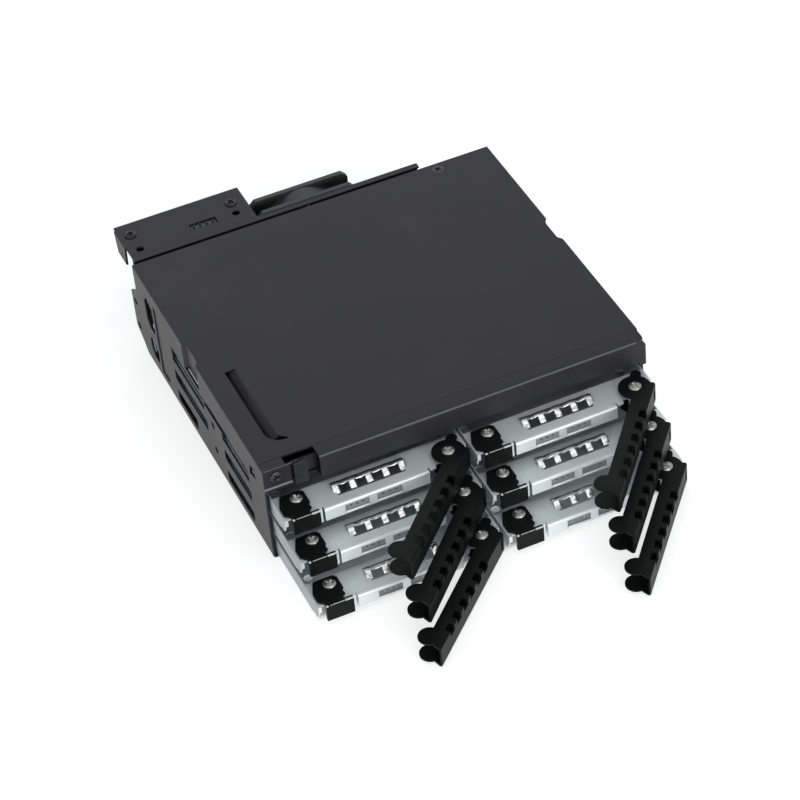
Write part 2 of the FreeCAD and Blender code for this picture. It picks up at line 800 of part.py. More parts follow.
def make_corner_screw():
    screw = pan_screw(0, 0, 0, bracket_sheet + chassis_sheet)
    screw.rotate(V(0, 0, 0), V(1, 0, 0), 90)
    x, z = corner_screw
    screw.translate(V(x, -wall_reach - bracket_sheet - head_gap, z))
    return screw


def make_lock_slider():
    front = wrap_gap - bezel_reach
    back = front + slider_sheet
    blade_back = -slider_sheet
    left = slider_left + slider_inset
    right = slider_left + slider_width
    top = cage_height - bezel_side_gap
    stem_low = bezel_low + slider_stem
    stem_high = stem_low + slider_sheet
    tab = clipped(slider_left, right, bezel_low + slider_low, top, slider_inset, "y", front, back)
    stem = box(left, right - bezel_side_gap, back, blade_back, stem_low, stem_high)
    blade = box(left, right + slider_blade_reach, blade_back - slider_blade, blade_back,
                deck_top + slider_inset, stem_high)
    return join([tab, stem, blade])


# ---------------------------------------------------------------- inner sheet pieces
deck_inset = 1.8                # deck plate clear of the walls, but for its folded tabs
deck_notch = 3.0
deck_tab_rise = 2.8
deck_tabs = ((14.0, 54.0), (78.0, rail_back - 2.0))
divider_holes = (24.0, 50.0, 76.0)
divider_hole_depth = 18.0
divider_hole_low = 5.0
divider_hole_high = 27.0


def make_deck():
    half = inner_half - deck_inset
    lug_back = chassis_sheet + free_gap - wall_reach
    bezel_back = bezel_sheet + free_gap - bezel_reach
    corner = bezel_left + bezel_side_gap
    plate = prism([
        (-half, lug_back), (corner, lug_back), (corner, bezel_back), (half - deck_notch, bezel_back),
        (half - deck_notch, lug_back), (half, lug_back), (half, rail_back), (-half, rail_back),
    ], "z", deck_low, deck_top)
    inside = inner_half - divider_sheet
    tabs = []
    for y0, y1 in deck_tabs:
        tab = prism([
            (half - over, deck_low), (inner_half - divider_sheet, deck_low), (inner_half, deck_top),
            (inner_half, deck_top + deck_tab_rise),
            (inside, deck_top + deck_tab_rise), (inside, deck_top), (half - over, deck_top),
        ], "y", y0, y1)
        tabs.extend(both_sides(tab))
    return join([plate] + tabs)


def make_divider():
    t = divider_sheet / 2
    sheet = box(-t, t, over - wall_reach, rail_back + 2 * over, chassis_sheet, deck_low)
    cuts = [box(-far, far, -far, free_gap - seam_gap, bezel_low, far)]
    for slot in heel_slots():
        cuts.append(slot.translated(V(-far / 2, 0, 0)))
    for y in divider_holes:
        cuts.append(clipped(y, y + divider_hole_depth, divider_hole_low, divider_hole_high, vent_clip,
                            "x", -far, far))
    return sheet.cut(cuts)


def rail(wall, way, leg):
    # a ledge off a wall, reaching way (+1 or -1) along x, with or without an upright leg
    rails = []
    for floor in row_floors[1:]:
        top = floor - rail_gap
        low = top - rail_sheet
        ends = sorted((wall, wall + way * rail_reach))
        ledge = box(*ends, rail_front, rail_back, low, top)
        if leg:
            foot = sorted((wall, wall + way * rail_leg_sheet))
            ledge = join([ledge, box(*foot, rail_front, rail_back, low, top + rail_leg_height)])
        rails.append(ledge)
    return rails


def make_wall_rails():
    return Part.makeCompound(rail(inner_half, -1, True) + rail(-inner_half, 1, True))


def make_divider_rails():
    return Part.makeCompound(rail(divider_sheet / 2, 1, False) + rail(-divider_sheet / 2, -1, False))


# ---------------------------------------------------------------- backplane and rear
board_inset = 0.6
board_high = 36.0
board_slot_xs = (-24.0, -8.0, 8.0, 24.0)
board_slot_half = 6.0
board_slot_low = 32.0
board_slot_high = 34.6
air_hole_xs = (-28.5, 12.5, 22.5)       # from each column's centre line
air_hole_width = 7.0
air_hole_low = 1.0
air_hole_high = 7.0

port_width = 16.4
port_height = 6.2
port_insets = (13.7, 33.7)      # data ports' centre lines, in from the left wall
port_low = 5.0
port_pitch = 9.0
port_rows = 3
power_width = 22.6
power_inset = 29.2
power_rows = 2
port_reach = 1.2
port_wall = 1.0
port_well = 5.0
port_tongue_side = 2.2
port_tongue_half = 0.6
port_gap = 0.2

data_places = [(inset - inner_half, port_low + k * port_pitch) for inset in port_insets
               for k in range(port_rows)]
power_places = [(inner_half - power_inset, port_low + k * port_pitch) for k in range(power_rows)]
socket_places = [(side * column_x + socket_offset, floor) for side in (-1, 1) for floor in row_floors]


def make_backplane():
    board = box(board_inset - inner_half, inner_half - board_inset, board_front, board_back,
                chassis_sheet, board_high)
    ends = (board_front - over, board_back + over)
    cuts = [box(x - board_slot_half, x + board_slot_half, *ends, board_slot_low, board_slot_high)
            for x in board_slot_xs]
    for side in (-1, 1):
        for x in air_hole_xs:
            left = side * column_x + x
            for floor in row_floors:
                cuts.append(box(left, left + air_hole_width, *ends, floor + air_hole_low,
                                floor + air_hole_high))
    return board.cut(cuts)


def make_sockets():
    shapes = []
    for x, floor in socket_places:
        low = floor + tray_sheet + socket_lift
        half = socket_width / 2
        body = box(x - half, x + half, socket_front, board_front, low, low + socket_height)
        slot_floor = low + socket_slot_low
        slot = box(x - half + socket_wall, x + half - socket_wall, socket_front - over,
                   socket_front + socket_slot_depth,
                   slot_floor, slot_floor + socket_slot_height)
        shapes.append(body.cut(slot))
    return Part.makeCompound(shapes)


def port(x, z, width):
    # a socket shell open to the back, with its contact tongue
    half = width / 2
    middle = z + port_height / 2
    well = panel_back - port_well
    body = box(x - half, x + half, board_back, panel_back + port_reach, z, z + port_height)
    mouth = box(x - half + port_wall, x + half - port_wall, well, panel_back + far, z + port_wall,
                z + port_height - port_wall)
    side = half - port_tongue_side
    tongue = box(x - side, x + side, well, panel_back, middle - port_tongue_half, middle + port_tongue_half)
    return join([body.cut(mouth), tongue])


def make_data_ports():
    return Part.makeCompound([port(x, z, port_width) for x, z in data_places])


def make_power_ports():
    return Part.makeCompound([port(x, z, power_width) for x, z in power_places])


bracket_half_inset = 1.0
bracket_foot = 30.0             # lower edge of the cross member
bracket_depth = 8.5
bracket_hole_half = 30.0
bracket_hole_margin = 1.5


def make_board_bracket():
    # cross member under the cover that holds the board's upper edge
    half = inner_half - bracket_half_inset
    t = chassis_sheet
    section = [
        (board_back, bracket_foot), (board_back + t, bracket_foot), (board_back + t, cover_low - t),
        (board_back + bracket_depth, cover_low - t), (board_back + bracket_depth, cover_low),
        (board_back, cover_low),
    ]
    window = clipped(-bracket_hole_half, bracket_hole_half, bracket_foot + bracket_hole_margin,
                     cover_low - t - bracket_hole_margin,
                     slot_clip, "y", board_back - over, board_back + t + over)
    thread = tube(cover_screw_radius + running_gap, "z", cover_screw, cover_low - t - over, cover_low + over)
    return prism(section, "x", -half, half).cut([window, thread])


ear_low = 9.0                   # rear panel's folded ears, which take the rear bay screws
ear_high = 24.0
ear_depth = 2.0


def make_rear_panel():
    t = chassis_sheet
    top = shelf_top
    section = [
        (panel_back - panel_lip, top), (panel_back, top), (panel_back, panel_foot), (panel_face, panel_foot),
        (panel_face, top - t), (panel_back - panel_lip, top - t),
    ]
    right = inner_half - panel_right_inset
    keep = prism([
        (shelf_left, 0), (inner_half, 0), (inner_half, panel_low_top), (right + panel_lip, panel_low_top),
        (right, panel_low_top + panel_lip), (right, far), (shelf_left, far),
    ], "y", -far, far)
    sheet = prism(section, "x", shelf_left, inner_half - t).common(keep)
    ends = (panel_face - over, panel_back + over)
    cuts = [tube(fan_bore, "y", fan_centre, *ends)]
    for places, width in ((data_places, port_width), (power_places, power_width)):
        for x, z in places:
            half = width / 2 + port_gap
            cuts.append(box(x - half, x + half, *ends, z - port_gap, z + port_height + port_gap))
    ear = box(inner_half - t, inner_half, cover_depth - ear_depth, panel_back, ear_low, ear_high)
    link = box(-inner_half, shelf_left + over, panel_face, panel_back, ear_low, ear_high)
    holes = [tube(mount_radius, "x", (mount_rear_y, mount_low_z + k * mount_pitch_z), -far, far)
             for k in (0, 1)]
    return join([sheet.cut(cuts), link] + both_sides(ear)).cut(holes)


shelf_screws = [(shelf_left + 4.3, panel_back + 13.4), (shelf_right - 5.7, panel_back + 12.6)]
shelf_holes = [(shelf_left + 4.6, panel_back + 3.6), (shelf_right - 6.2, panel_back + 6.0)]
header_place = (shelf_left + 31.0, panel_back + 6.2)
header_pins = 4
header_pitch = 2.54
header_base = 2.4
header_pin = 0.64
header_gap = 0.5
shelf_lip = 7.0                 # shelf's flange down the rear panel
shelf_flap = 8.5
shelf_flap_span = (6.5, 18.5)
jumper_drop = 2.2               # shelf to the small board under it
jumper_sheet = 1.2
jumper_inset = 1.5
jumper_depth = 15.1
jumper_top = shelf_top - chassis_sheet - jumper_drop


def make_rear_shelf():
    t = chassis_sheet
    y = panel_back
    start, end = shelf_flap_span
    plate = box(shelf_left, shelf_right, y, y + shelf_depth, shelf_top - t, shelf_top)
    drop = box(shelf_left + over, shelf_right - over, y, y + t, shelf_top - shelf_lip, shelf_top - t / 2)
    side = prism([
        (y + start, shelf_top), (y + start + over, shelf_top - shelf_flap),
        (y + end - 2 * over, shelf_top - shelf_flap), (y + end, shelf_top),
    ], "x", shelf_left - t * 3 / 4, shelf_left + t / 4)
    cuts = [tube(screw_radius, "z", place, 0, far) for place in shelf_holes]
    cuts.extend(tube(screw_radius + free_gap, "z", place, 0, far) for place in shelf_screws)
    half = header_pins * header_pitch / 2 + header_gap / 2
    x, back = header_place
    cuts.append(box(x - half, x + half, back - header_pitch / 2 - header_gap,
                    back + header_pitch / 2 + header_gap, 0, far))
    return join([plate, drop, side]).cut(cuts)


def make_jumper_board():
    y = panel_back + jumper_inset
    board = box(shelf_left + jumper_inset, shelf_right - jumper_inset, y, y + jumper_depth,
                jumper_top - jumper_sheet, jumper_top)
    posts = [hexagon(hex_across, *place, jumper_top, shelf_top - chassis_sheet) for place in shelf_screws]
    return join([board] + posts)


def make_pin_header():
    x, y = header_place
    half = header_pins * header_pitch / 2
    pin = header_pin / 2
    base = box(x - half, x + half, y - header_pitch / 2, y + header_pitch / 2, jumper_top,
               jumper_top + header_base)
    pins = []
    for k in range(header_pins):
        middle = x + (k + 0.5) * header_pitch - half
        pins.append(box(middle - pin, middle + pin, y - pin, y + pin, jumper_top + header_base / 2,
                        shelf_top + header_pin / 2))
    return join([base] + pins)


def make_shelf_screws():
    depth = chassis_sheet + head_gap
    return Part.makeCompound([pan_screw(*place, shelf_top + head_gap, depth) for place in shelf_screws])


# ---------------------------------------------------------------- fan
fan_clip = 2.0
rotor_front_gap = 0.6
rotor_back_gap = 1.5


def make_fan_frame():
    cx, cz = fan_centre
    half = fan_size / 2
    y0 = panel_back
    y1 = y0 + fan_depth
    plates = [clipped(cx - half, cx + half, cz - half, cz + half, fan_clip, "y", a, a + fan_flange)
              for a in (y0, y1 - fan_flange)]
    duct = tube(fan_bore + fan_duct_wall, "y", fan_centre, y0, y1)
    frame = join(plates + [duct]).cut(tube(fan_bore, "y", fan_centre, y0 - over, y1 + over))
    # motor seat on three struts at the back, with the shaft that carries the rotor
    seat = tube(fan_hub, "y", fan_centre, y1 - fan_seat, y1)
    shaft = tube(fan_shaft, "y", fan_centre, y0 + 2 * fan_shaft, y1 - fan_seat / 2)
    struts = []
    for k in range(3):
        strut = box(-over, over, y1 - fan_seat, y1, fan_hub / 2, fan_bore + fan_duct_wall / 2)
        strut.rotate(V(0, 0, 0), V(0, 1, 0), 90 + 120 * k)
        strut.translate(V(cx, 0, cz))
        struts.append(strut)
    return join([frame, seat, shaft] + struts)


def make_fan_rotor():
    # hub with pitched blades: each blade is a flat plate across the hub, cut round by the tip circle
    y0 = panel_back + rotor_front_gap
    y1 = panel_back + fan_depth - rotor_back_gap
    middle = (y0 + y1) / 2
    tip = fan_bore - blade_gap
    hub = tube(fan_hub, "y", (0, 0), y0, y1)
    sweep = tube(tip, "y", (0, 0), y0, y1)
    blades = []
    for k in range(fan_blades):
        blade = box(-blade_chord / 2, blade_chord / 2, -blade_sheet / 2, blade_sheet / 2, fan_hub / 2, far)
        blade.rotate(V(0, 0, 0), V(0, 0, 1), blade_pitch)
        blade.rotate(V(0, 0, 0), V(0, 1, 0), 360.0 / fan_blades * k)
        blade.translate(V(0, middle, 0))
        blades.append(blade.common(sweep))
    bore = tube(fan_shaft + running_gap, "y", (0, 0), panel_back, y1 + over)
    rotor = join([hub] + blades).cut(bore.cut(box(-far, far, -far, y0 + over, -far, far)))
    rotor.translate(V(fan_centre[0], 0, fan_centre[1]))
    return rotor


# ---------------------------------------------------------------- build
def placed(shape, x, y, z, turn=0.0):
    result = shape.copy()
    if turn:
        result.rotate(V(0, 0, 0), V(0, 0, 1), turn)
    result.translate(V(x, y, z))
    return result


tray = make_tray()
strip = make_finger_strip()
tray_screws = make_tray_screws()
lever = make_lever()
latch = make_latch()

for side, x, pulls, turns in (("left", -column_x, pull_left, open_left),
                              ("right", column_x, pull_right, open_right)):
    for number in range(row_count):
        z = row_floors[row_count - 1 - number]
        y = -pulls[number]
        tag = side + "_" + str(number + 1)
        save("tray_" + tag, placed(tray, x, y, z))
        save("finger_strip_" + tag, placed(strip, x, y, z))
        save("tray_screws_" + tag, placed(tray_screws, x, y, z))
        save("lever_" + tag, placed(lever, x + pivot_offset, y, z, turns[number]))
        save("latch_" + tag, placed(latch, x, y, z))

save("chassis", make_chassis())
save("top_cover", make_top_cover())
save("cover_screw", make_cover_screw())
save("front_bezel", make_front_bezel())
save("corner_bracket", make_corner_bracket())
save("corner_screw", make_corner_screw())
save("lock_slider", make_lock_slider())
save("deck", make_deck())
save("divider", make_divider())
save("wall_rails", make_wall_rails())
save("divider_rails", make_divider_rails())
save("backplane", make_backplane())
save("drive_sockets", make_sockets())
save("data_ports", make_data_ports())
save("power_ports", make_power_ports())
save("board_bracket", make_board_bracket())
save("rear_panel", make_rear_panel())
save("rear_shelf", make_rear_shelf())
save("jumper_board", make_jumper_board())
save("pin_header", make_pin_header())
save("shelf_screws", make_shelf_screws())
save("fan_frame", make_fan_frame())
save("fan_rotor", make_fan_rotor())
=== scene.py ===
import bpy
import bmesh
import json
import math
import numpy as np
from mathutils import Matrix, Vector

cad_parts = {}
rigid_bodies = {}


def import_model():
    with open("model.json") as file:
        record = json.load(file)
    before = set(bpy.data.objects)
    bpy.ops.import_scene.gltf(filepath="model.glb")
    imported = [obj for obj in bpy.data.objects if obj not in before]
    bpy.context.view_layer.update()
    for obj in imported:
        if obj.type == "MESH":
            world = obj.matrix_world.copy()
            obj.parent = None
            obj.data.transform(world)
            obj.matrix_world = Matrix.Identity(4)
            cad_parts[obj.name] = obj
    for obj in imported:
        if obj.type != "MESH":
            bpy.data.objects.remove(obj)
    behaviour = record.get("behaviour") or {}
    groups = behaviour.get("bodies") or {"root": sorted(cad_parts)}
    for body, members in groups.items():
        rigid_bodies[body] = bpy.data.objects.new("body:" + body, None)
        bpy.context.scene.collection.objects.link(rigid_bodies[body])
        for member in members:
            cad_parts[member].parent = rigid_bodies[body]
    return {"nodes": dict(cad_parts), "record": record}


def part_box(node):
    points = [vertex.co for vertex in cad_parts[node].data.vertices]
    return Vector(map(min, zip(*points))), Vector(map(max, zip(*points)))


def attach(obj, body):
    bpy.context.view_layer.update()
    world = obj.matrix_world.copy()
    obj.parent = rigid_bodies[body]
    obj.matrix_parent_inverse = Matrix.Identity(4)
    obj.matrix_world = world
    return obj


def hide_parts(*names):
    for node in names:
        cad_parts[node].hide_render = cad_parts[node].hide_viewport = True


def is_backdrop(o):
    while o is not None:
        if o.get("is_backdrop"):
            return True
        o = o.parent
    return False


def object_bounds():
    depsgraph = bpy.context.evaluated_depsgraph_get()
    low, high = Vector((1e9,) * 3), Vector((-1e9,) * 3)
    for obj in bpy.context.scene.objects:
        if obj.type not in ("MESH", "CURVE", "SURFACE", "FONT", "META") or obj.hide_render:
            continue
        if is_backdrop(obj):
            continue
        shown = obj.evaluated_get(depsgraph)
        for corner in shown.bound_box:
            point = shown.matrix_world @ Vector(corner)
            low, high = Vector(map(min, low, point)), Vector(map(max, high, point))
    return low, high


# Dresses the hot swap drive cage: rounded sheet edges, real screw heads, finishes, stage and camera.
# Metres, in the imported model's frame: +X right, +Y back, +Z up. Where a note says mm, the values
# are in millimetres and are multiplied by mm as they are used.

for spare in list(bpy.data.objects):
    bpy.data.objects.remove(spare, do_unlink=True)
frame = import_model()
cadLow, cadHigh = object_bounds()
record = frame["record"]
slotOf = {part["node"]: part["material_slot"] for part in record["subparts"]}
bodyOf = {node: body for body, nodes in record["behaviour"]["bodies"].items() for node in nodes}
mm = 0.001


class Value:
    # wraps one socket, so that sums and products written in Python add Math nodes
    def __init__(self, finish, socket):
        self.finish = finish
        self.socket = socket

    def maths(self, operation, first, second, clamp=False):
        settings = {"operation": operation, "use_clamp": clamp}
        return self.finish.node("ShaderNodeMath", settings, {0: first, 1: second})

    def __add__(self, other):
        return self.maths("ADD", self, other)

    def __radd__(self, other):
        return self.maths("ADD", other, self)

    def __sub__(self, other):
        return self.maths("SUBTRACT", self, other)

    def __rsub__(self, other):
        return self.maths("SUBTRACT", other, self)

    def __mul__(self, other):
        return self.maths("MULTIPLY", self, other)

    def __rmul__(self, other):
        return self.maths("MULTIPLY", other, self)

    def __abs__(self):
        return self.maths("ABSOLUTE", self, 0.0)

    def clipped(self):
        return self.maths("ADD", self, 0.0, clamp=True)     # held between 0 and 1

    def beside(self, output):
        return Value(self.finish, self.socket.node.outputs[output])     # another output of the node


class Finish:
    # a node material round one Principled shader
    def __init__(self, name):
        self.material = bpy.data.materials.new(name)
        self.material.use_nodes = True
        self.tree = self.material.node_tree
        self.tree.nodes.clear()
        self.shader = self.tree.nodes.new("ShaderNodeBsdfPrincipled")
        self.surface = self.tree.nodes.new("ShaderNodeOutputMaterial").inputs["Surface"]
        self.tree.links.new(self.shader.outputs["BSDF"], self.surface)
        self.place = self.node("ShaderNodeTexCoord", output="Object")

    def node(self, kind, settings=None, sockets=None, output=0):
        # the node's settings first, then the values or links of its sockets
        made = self.tree.nodes.new(kind)
        for key, value in (settings or {}).items():
            setattr(made, key, value)
        for key, value in (sockets or {}).items():
            self.plug(made.inputs[key], value)
        return Value(self, made.outputs[output])

    def plug(self, socket, value):
        if isinstance(value, Value):
            self.tree.links.new(value.socket, socket)
        else:
            socket.default_value = value

    def fit(self, **values):
        # Principled sockets by name, with underscores for the spaces
        for key, value in values.items():
            self.plug(self.shader.inputs[key.replace("_", " ")], value)

    def stretched(self, size):
        # object coordinates divided by a grain's size: one number, or one along each axis
        sizes = size if isinstance(size, tuple) else (size, size, size)
        scale = tuple(1.0 / length for length in sizes)
        return self.node("ShaderNodeMapping", None, {"Vector": self.place, "Scale": scale})

    def noise(self, size, detail, roughness):
        return self.node("ShaderNodeTexNoise", None, {"Vector": self.stretched(size), "Scale": 1.0,
                                                      "Detail": detail, "Roughness": roughness})

    def cells(self, size, feature, output):
        return self.node("ShaderNodeTexVoronoi", {"feature": feature},
                         {"Vector": self.stretched(size), "Scale": 1.0}, output)

    def blend(self, amount, first, second):
        # mixes two colours, each of them a value or three numbers
        pair = [(*colour, 1.0) if isinstance(colour, tuple) else colour for colour in (first, second)]
        return self.node("ShaderNodeMix", {"data_type": "RGBA"}, {0: amount, 6: pair[0], 7: pair[1]}, 2)

    def mark(self):
        # 1 on a piece's marked faces, 0 elsewhere
        return self.node("ShaderNodeAttribute", {"attribute_name": "mark"}, output="Fac")

    def relief(self, height, depth):
        return self.node("ShaderNodeBump", None, {"Height": height, "Distance": depth})


# powder on the cage's sheets, and a smoother, deeper coat on levers and latches
powder = {
    "colour": (0.0120, 0.0115, 0.0142),
    "worn": (0.0195, 0.019, 0.0225),        # where handling has rubbed it lighter
    "grain": 0.00042, "depth": 0.00003,     # of the orange peel
    "cloud": 0.03,                          # size of the broad clouds
    "rough": 0.36, "roughSpread": 0.16, "gloss": 0.27,
}
satin = {
    "colour": (0.0030, 0.0036, 0.0036),
    "worn": (0.0062, 0.0068, 0.0066),
    "grain": 0.00026, "depth": 0.00001,
    "cloud": 0.012,
    "rough": 0.34, "roughSpread": 0.14, "gloss": 0.10,
}
# both coats: clouds past start are rubbed, more by gain, and marked faces turn to bare metal,
# which is partly wear and partly a painted highlight
wear = {"start": 0.45, "gain": 2.4, "peelGain": 0.8, "peelRough": 0.10,
        "bareAndHighlight": (0.42, 0.43, 0.42), "bareMetal": 0.9}


def coatedBlack(name, look):
    # baked coating: a fine orange peel, broad clouds in the sheen, a little rubbed colour, and
    # bare metal where a face is marked, partly wear and partly a painted highlight
    finish = Finish(name)
    peel = finish.noise(look["grain"], 3.0, 0.6)
    cloud = finish.noise(look["cloud"], 4.0, 0.55)
    rubbed = ((cloud - wear["start"]) * wear["gain"] + (peel - 0.5) * wear["peelGain"]).clipped()
    # marked faces: bare metal, partly wear and partly a painted highlight on folds and edges that look
    # forward and up
    bareAndHighlight = finish.mark()
    coat = finish.blend(rubbed, look["colour"], look["worn"])
    finish.fit(Base_Color=finish.blend(bareAndHighlight, coat, wear["bareAndHighlight"]), Metallic=bareAndHighlight * wear["bareMetal"],
               Roughness=look["rough"] + look["roughSpread"] * cloud + wear["peelRough"] * peel,
               Normal=finish.relief(peel, look["depth"]), Specular_IOR_Level=look["gloss"])
    return finish.material


zinc = {
    "colour": (0.73, 0.785, 0.785),
    "dull": (0.61, 0.665, 0.66),
    "sunk": (0.22, 0.235, 0.228),                   # painted shade, on pressed panels and the tray's left side
    "streak": (0.00018, 0.012, 0.00018),            # grain along X, Y and Z
    "bloom": 0.018, "spangle": 0.0045,              # sizes of dull patches and crystals
    "tone": {"bloom": 0.9, "crystal": 0.2, "streak": 0.3, "start": 0.25},
    "rough": {"least": 0.36, "bloom": 0.12, "crystal": 0.05, "streak": 0.08, "pressed": 0.2},
    "metal": 0.6, "pressedMetal": 0.2,              # the second is taken off on faces with painted shade
    "depth": 0.000004, "bloomDepth": 0.6,
}


def zincSheet(name):
    # plated steel: rolled streaks along the sheet, faint crystals and a dull bloom; marked
    # faces get a painted shade, and are drier and less metallic
    finish = Finish(name)
    tone, rough = zinc["tone"], zinc["rough"]
    streak = finish.noise(zinc["streak"], 3.0, 0.6)
    bloom = finish.noise(zinc["bloom"], 5.0, 0.6)
    cells = finish.cells(zinc["spangle"], "F1", "Color")
    crystal = finish.node("ShaderNodeSeparateColor", None, {"Color": cells})
    dull = (bloom * tone["bloom"] + crystal * tone["crystal"] + streak * tone["streak"]
            - tone["start"]).clipped()
    # marked faces: painted shade, a darker colour on the pressed panels and the tray's left side
    pressed = finish.mark()
    sheet = finish.blend(dull, zinc["colour"], zinc["dull"])
    finish.fit(Base_Color=finish.blend(pressed, sheet, zinc["sunk"]),
               Metallic=zinc["metal"] - pressed * zinc["pressedMetal"],
               Roughness=rough["least"] + rough["bloom"] * bloom + rough["crystal"] * crystal
               + rough["streak"] * streak + rough["pressed"] * pressed,
               Normal=finish.relief(streak + bloom * zinc["bloomDepth"], zinc["depth"]))
    return finish.material


bright = {
    "colour": (0.86, 0.86, 0.84),
    "shade": (0.34, 0.35, 0.34),
    "streak": (0.0009, 0.00012, 0.00012), "depth": 0.0000006,
    "smear": (0.0022, 0.0012, 0.0012), "smearGain": 3.2, "smearStart": 1.15,
    "rough": 0.15, "smearRough": 0.08, "streakRough": 0.04,
}


def brightSpring(name):
    # polished spring steel with the fine lines of its strip and darker smears
    finish = Finish(name)
    line = finish.noise(bright["streak"], 1.0, 0.4)
    smear = finish.noise(bright["smear"], 2.0, 0.5)
    dark = (smear * bright["smearGain"] - bright["smearStart"]).clipped()
    finish.fit(Base_Color=finish.blend(dark, bright["colour"], bright["shade"]), Metallic=1.0,
               Roughness=bright["rough"] + bright["smearRough"] * smear + bright["streakRough"] * line,
               Normal=finish.relief(line, bright["depth"]))
    return finish.material


nickel = {"colour": (0.70, 0.69, 0.66), "shade": (0.50, 0.50, 0.49), "rough": 0.20, "metal": 1.0}
oxide = {"colour": (0.030, 0.030, 0.031), "shade": (0.055, 0.054, 0.052), "rough": 0.30, "metal": 0.6}
turning = {"pool": 0.0012, "poolGain": 1.6, "poolStart": 0.4, "poolRough": 0.14,
           "lines": (0.00012, 0.00012, 0.0006), "lineRough": 0.06, "depth": 0.000004}


def screwMetal(name, look):
    # turned and plated: tool marks, and a drier tone where the plating pools
    finish = Finish(name)
    pool = finish.noise(turning["pool"], 4.0, 0.6)
    line = finish.noise(turning["lines"], 2.0, 0.5)
    dry = (pool * turning["poolGain"] - turning["poolStart"]).clipped()
    finish.fit(Base_Color=finish.blend(dry, look["colour"], look["shade"]), Metallic=look["metal"],
               Roughness=look["rough"] + turning["poolRough"] * pool + turning["lineRough"] * line,
               Normal=finish.relief(line, turning["depth"]))
    return finish.material


moulded = {"colour": (0.010, 0.010, 0.011), "pale": (0.017, 0.017, 0.018), "flow": 0.02,
           "flowGain": 0.8, "sparkGain": 0.3, "start": 0.2,
           "grain": 0.0003, "depth": 0.00002, "rough": 0.42, "sparkRough": 0.16}


def mouldedBlack(name):
    # spark-eroded mould texture on black plastic, a little paler where it flowed
    finish = Finish(name)
    spark = finish.noise(moulded["grain"], 4.0, 0.65)
    flow = finish.noise(moulded["flow"], 3.0, 0.5)
    pale = (flow * moulded["flowGain"] + spark * moulded["sparkGain"] - moulded["start"]).clipped()
    finish.fit(Base_Color=finish.blend(pale, moulded["colour"], moulded["pale"]),
               Roughness=moulded["rough"] + moulded["sparkRough"] * spark,
               Normal=finish.relief(spark, moulded["depth"]))
    return finish.material


laminate = {"mask": (0.006, 0.012, 0.010), "copper": (0.018, 0.032, 0.026),
            "trace": 0.0036, "narrow": 9.0,         # spacing of the tracks, and how thin they are
            "weave": 0.0005, "weaveShare": 0.3, "depth": 0.00002, "rough": 0.30, "weaveRough": 0.10}


def boardMask(name):
    # dark solder mask: tracks show as lighter lines between cells, over a glass weave
    finish = Finish(name)
    toEdge = finish.cells(laminate["trace"], "DISTANCE_TO_EDGE", "Distance")
    track = (1.0 - toEdge * laminate["narrow"]).clipped()
    weave = finish.noise(laminate["weave"], 1.0, 0.4)
    finish.fit(Base_Color=finish.blend(track, laminate["mask"], laminate["copper"]),
               Roughness=laminate["rough"] + laminate["weaveRough"] * weave,
               Normal=finish.relief(track + weave * laminate["weaveShare"], laminate["depth"]))
    return finish.material


finishes = {
    "black_sheet": coatedBlack("powderCoat", powder),
    "black_lever": coatedBlack("satinCoat", satin),
    "plated_sheet": zincSheet("zincSheet"),
    "spring_strip": brightSpring("springSteel"),
    "bright_screw": screwMetal("nickelScrew", nickel),
    "dark_screw": screwMetal("oxideScrew", oxide),
    "black_plastic": mouldedBlack("mouldedBlack"),
    "circuit_board": boardMask("boardMask"),
}
print("finishes:", ", ".join(finishes))


def landed(name, mesh, slot, body, nodes=()):
    # puts a finished mesh on its body, with its finish, in place of its nodes
    piece = bpy.data.objects.new(name, mesh)
    bpy.context.scene.collection.objects.link(piece)
    mesh.materials.clear()
    mesh.materials.append(finishes[slot])
    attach(piece, body)
    if nodes:
        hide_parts(*nodes)
    return piece


def shadeSmooth(mesh, sharp):
    # smooth faces, with folds of more than so many degrees kept sharp
    mesh.polygons.foreach_set("use_smooth", np.ones(len(mesh.polygons), dtype=bool))
    mesh.set_sharp_from_angle(angle=math.radians(sharp))


def surface(name, points, faces, sharp):
    # a mesh from arrays of points and faces
    mesh = bpy.data.meshes.new(name)
    mesh.from_pydata(np.asarray(points).tolist(), [], [list(face) for face in faces])
    mesh.validate()
    shadeSmooth(mesh, sharp)
    return mesh


def setMarks(mesh, values):
    # one number from 0 to 1 for each face, which its finish reads
    faces = mesh.attributes.new("mark", "FLOAT", "FACE")
    faces.data.foreach_set("value", values.astype(np.float32))


def giveWall(piece, thickness, offset):
    wall = piece.modifiers.new("sheet", "SOLIDIFY")
    wall.thickness = thickness * mm
    wall.offset = offset


def rings(grid, start=0):
    # closed skin over rows of points that each run round an axis, with a point in the middle of
    # the first and of the last row; faces count their points from start
    rows, columns = grid.shape[:2]
    index = np.arange(rows * columns).reshape(rows, columns) + start
    after = np.roll(index, -1, axis=1)
    faces = np.stack([index[:-1], index[1:], after[1:], after[:-1]], axis=-1).reshape(-1, 4).tolist()
    poles = np.stack([grid[0].mean(axis=0), grid[-1].mean(axis=0)])
    first, last = start + rows * columns, start + rows * columns + 1
    faces += np.stack([np.full(columns, first), index[0], after[0]], axis=-1).tolist()
    faces += np.stack([np.full(columns, last), after[-1], index[-1]], axis=-1).tolist()
    return np.concatenate([grid.reshape(-1, 3), poles]), faces


def patch(rows, columns):
    # the cells of an open grid of points, as rows of four corners
    index = np.arange(rows * columns).reshape(rows, columns)
    return np.stack([index[:-1, :-1], index[:-1, 1:], index[1:, 1:], index[1:, :-1]], axis=-1)


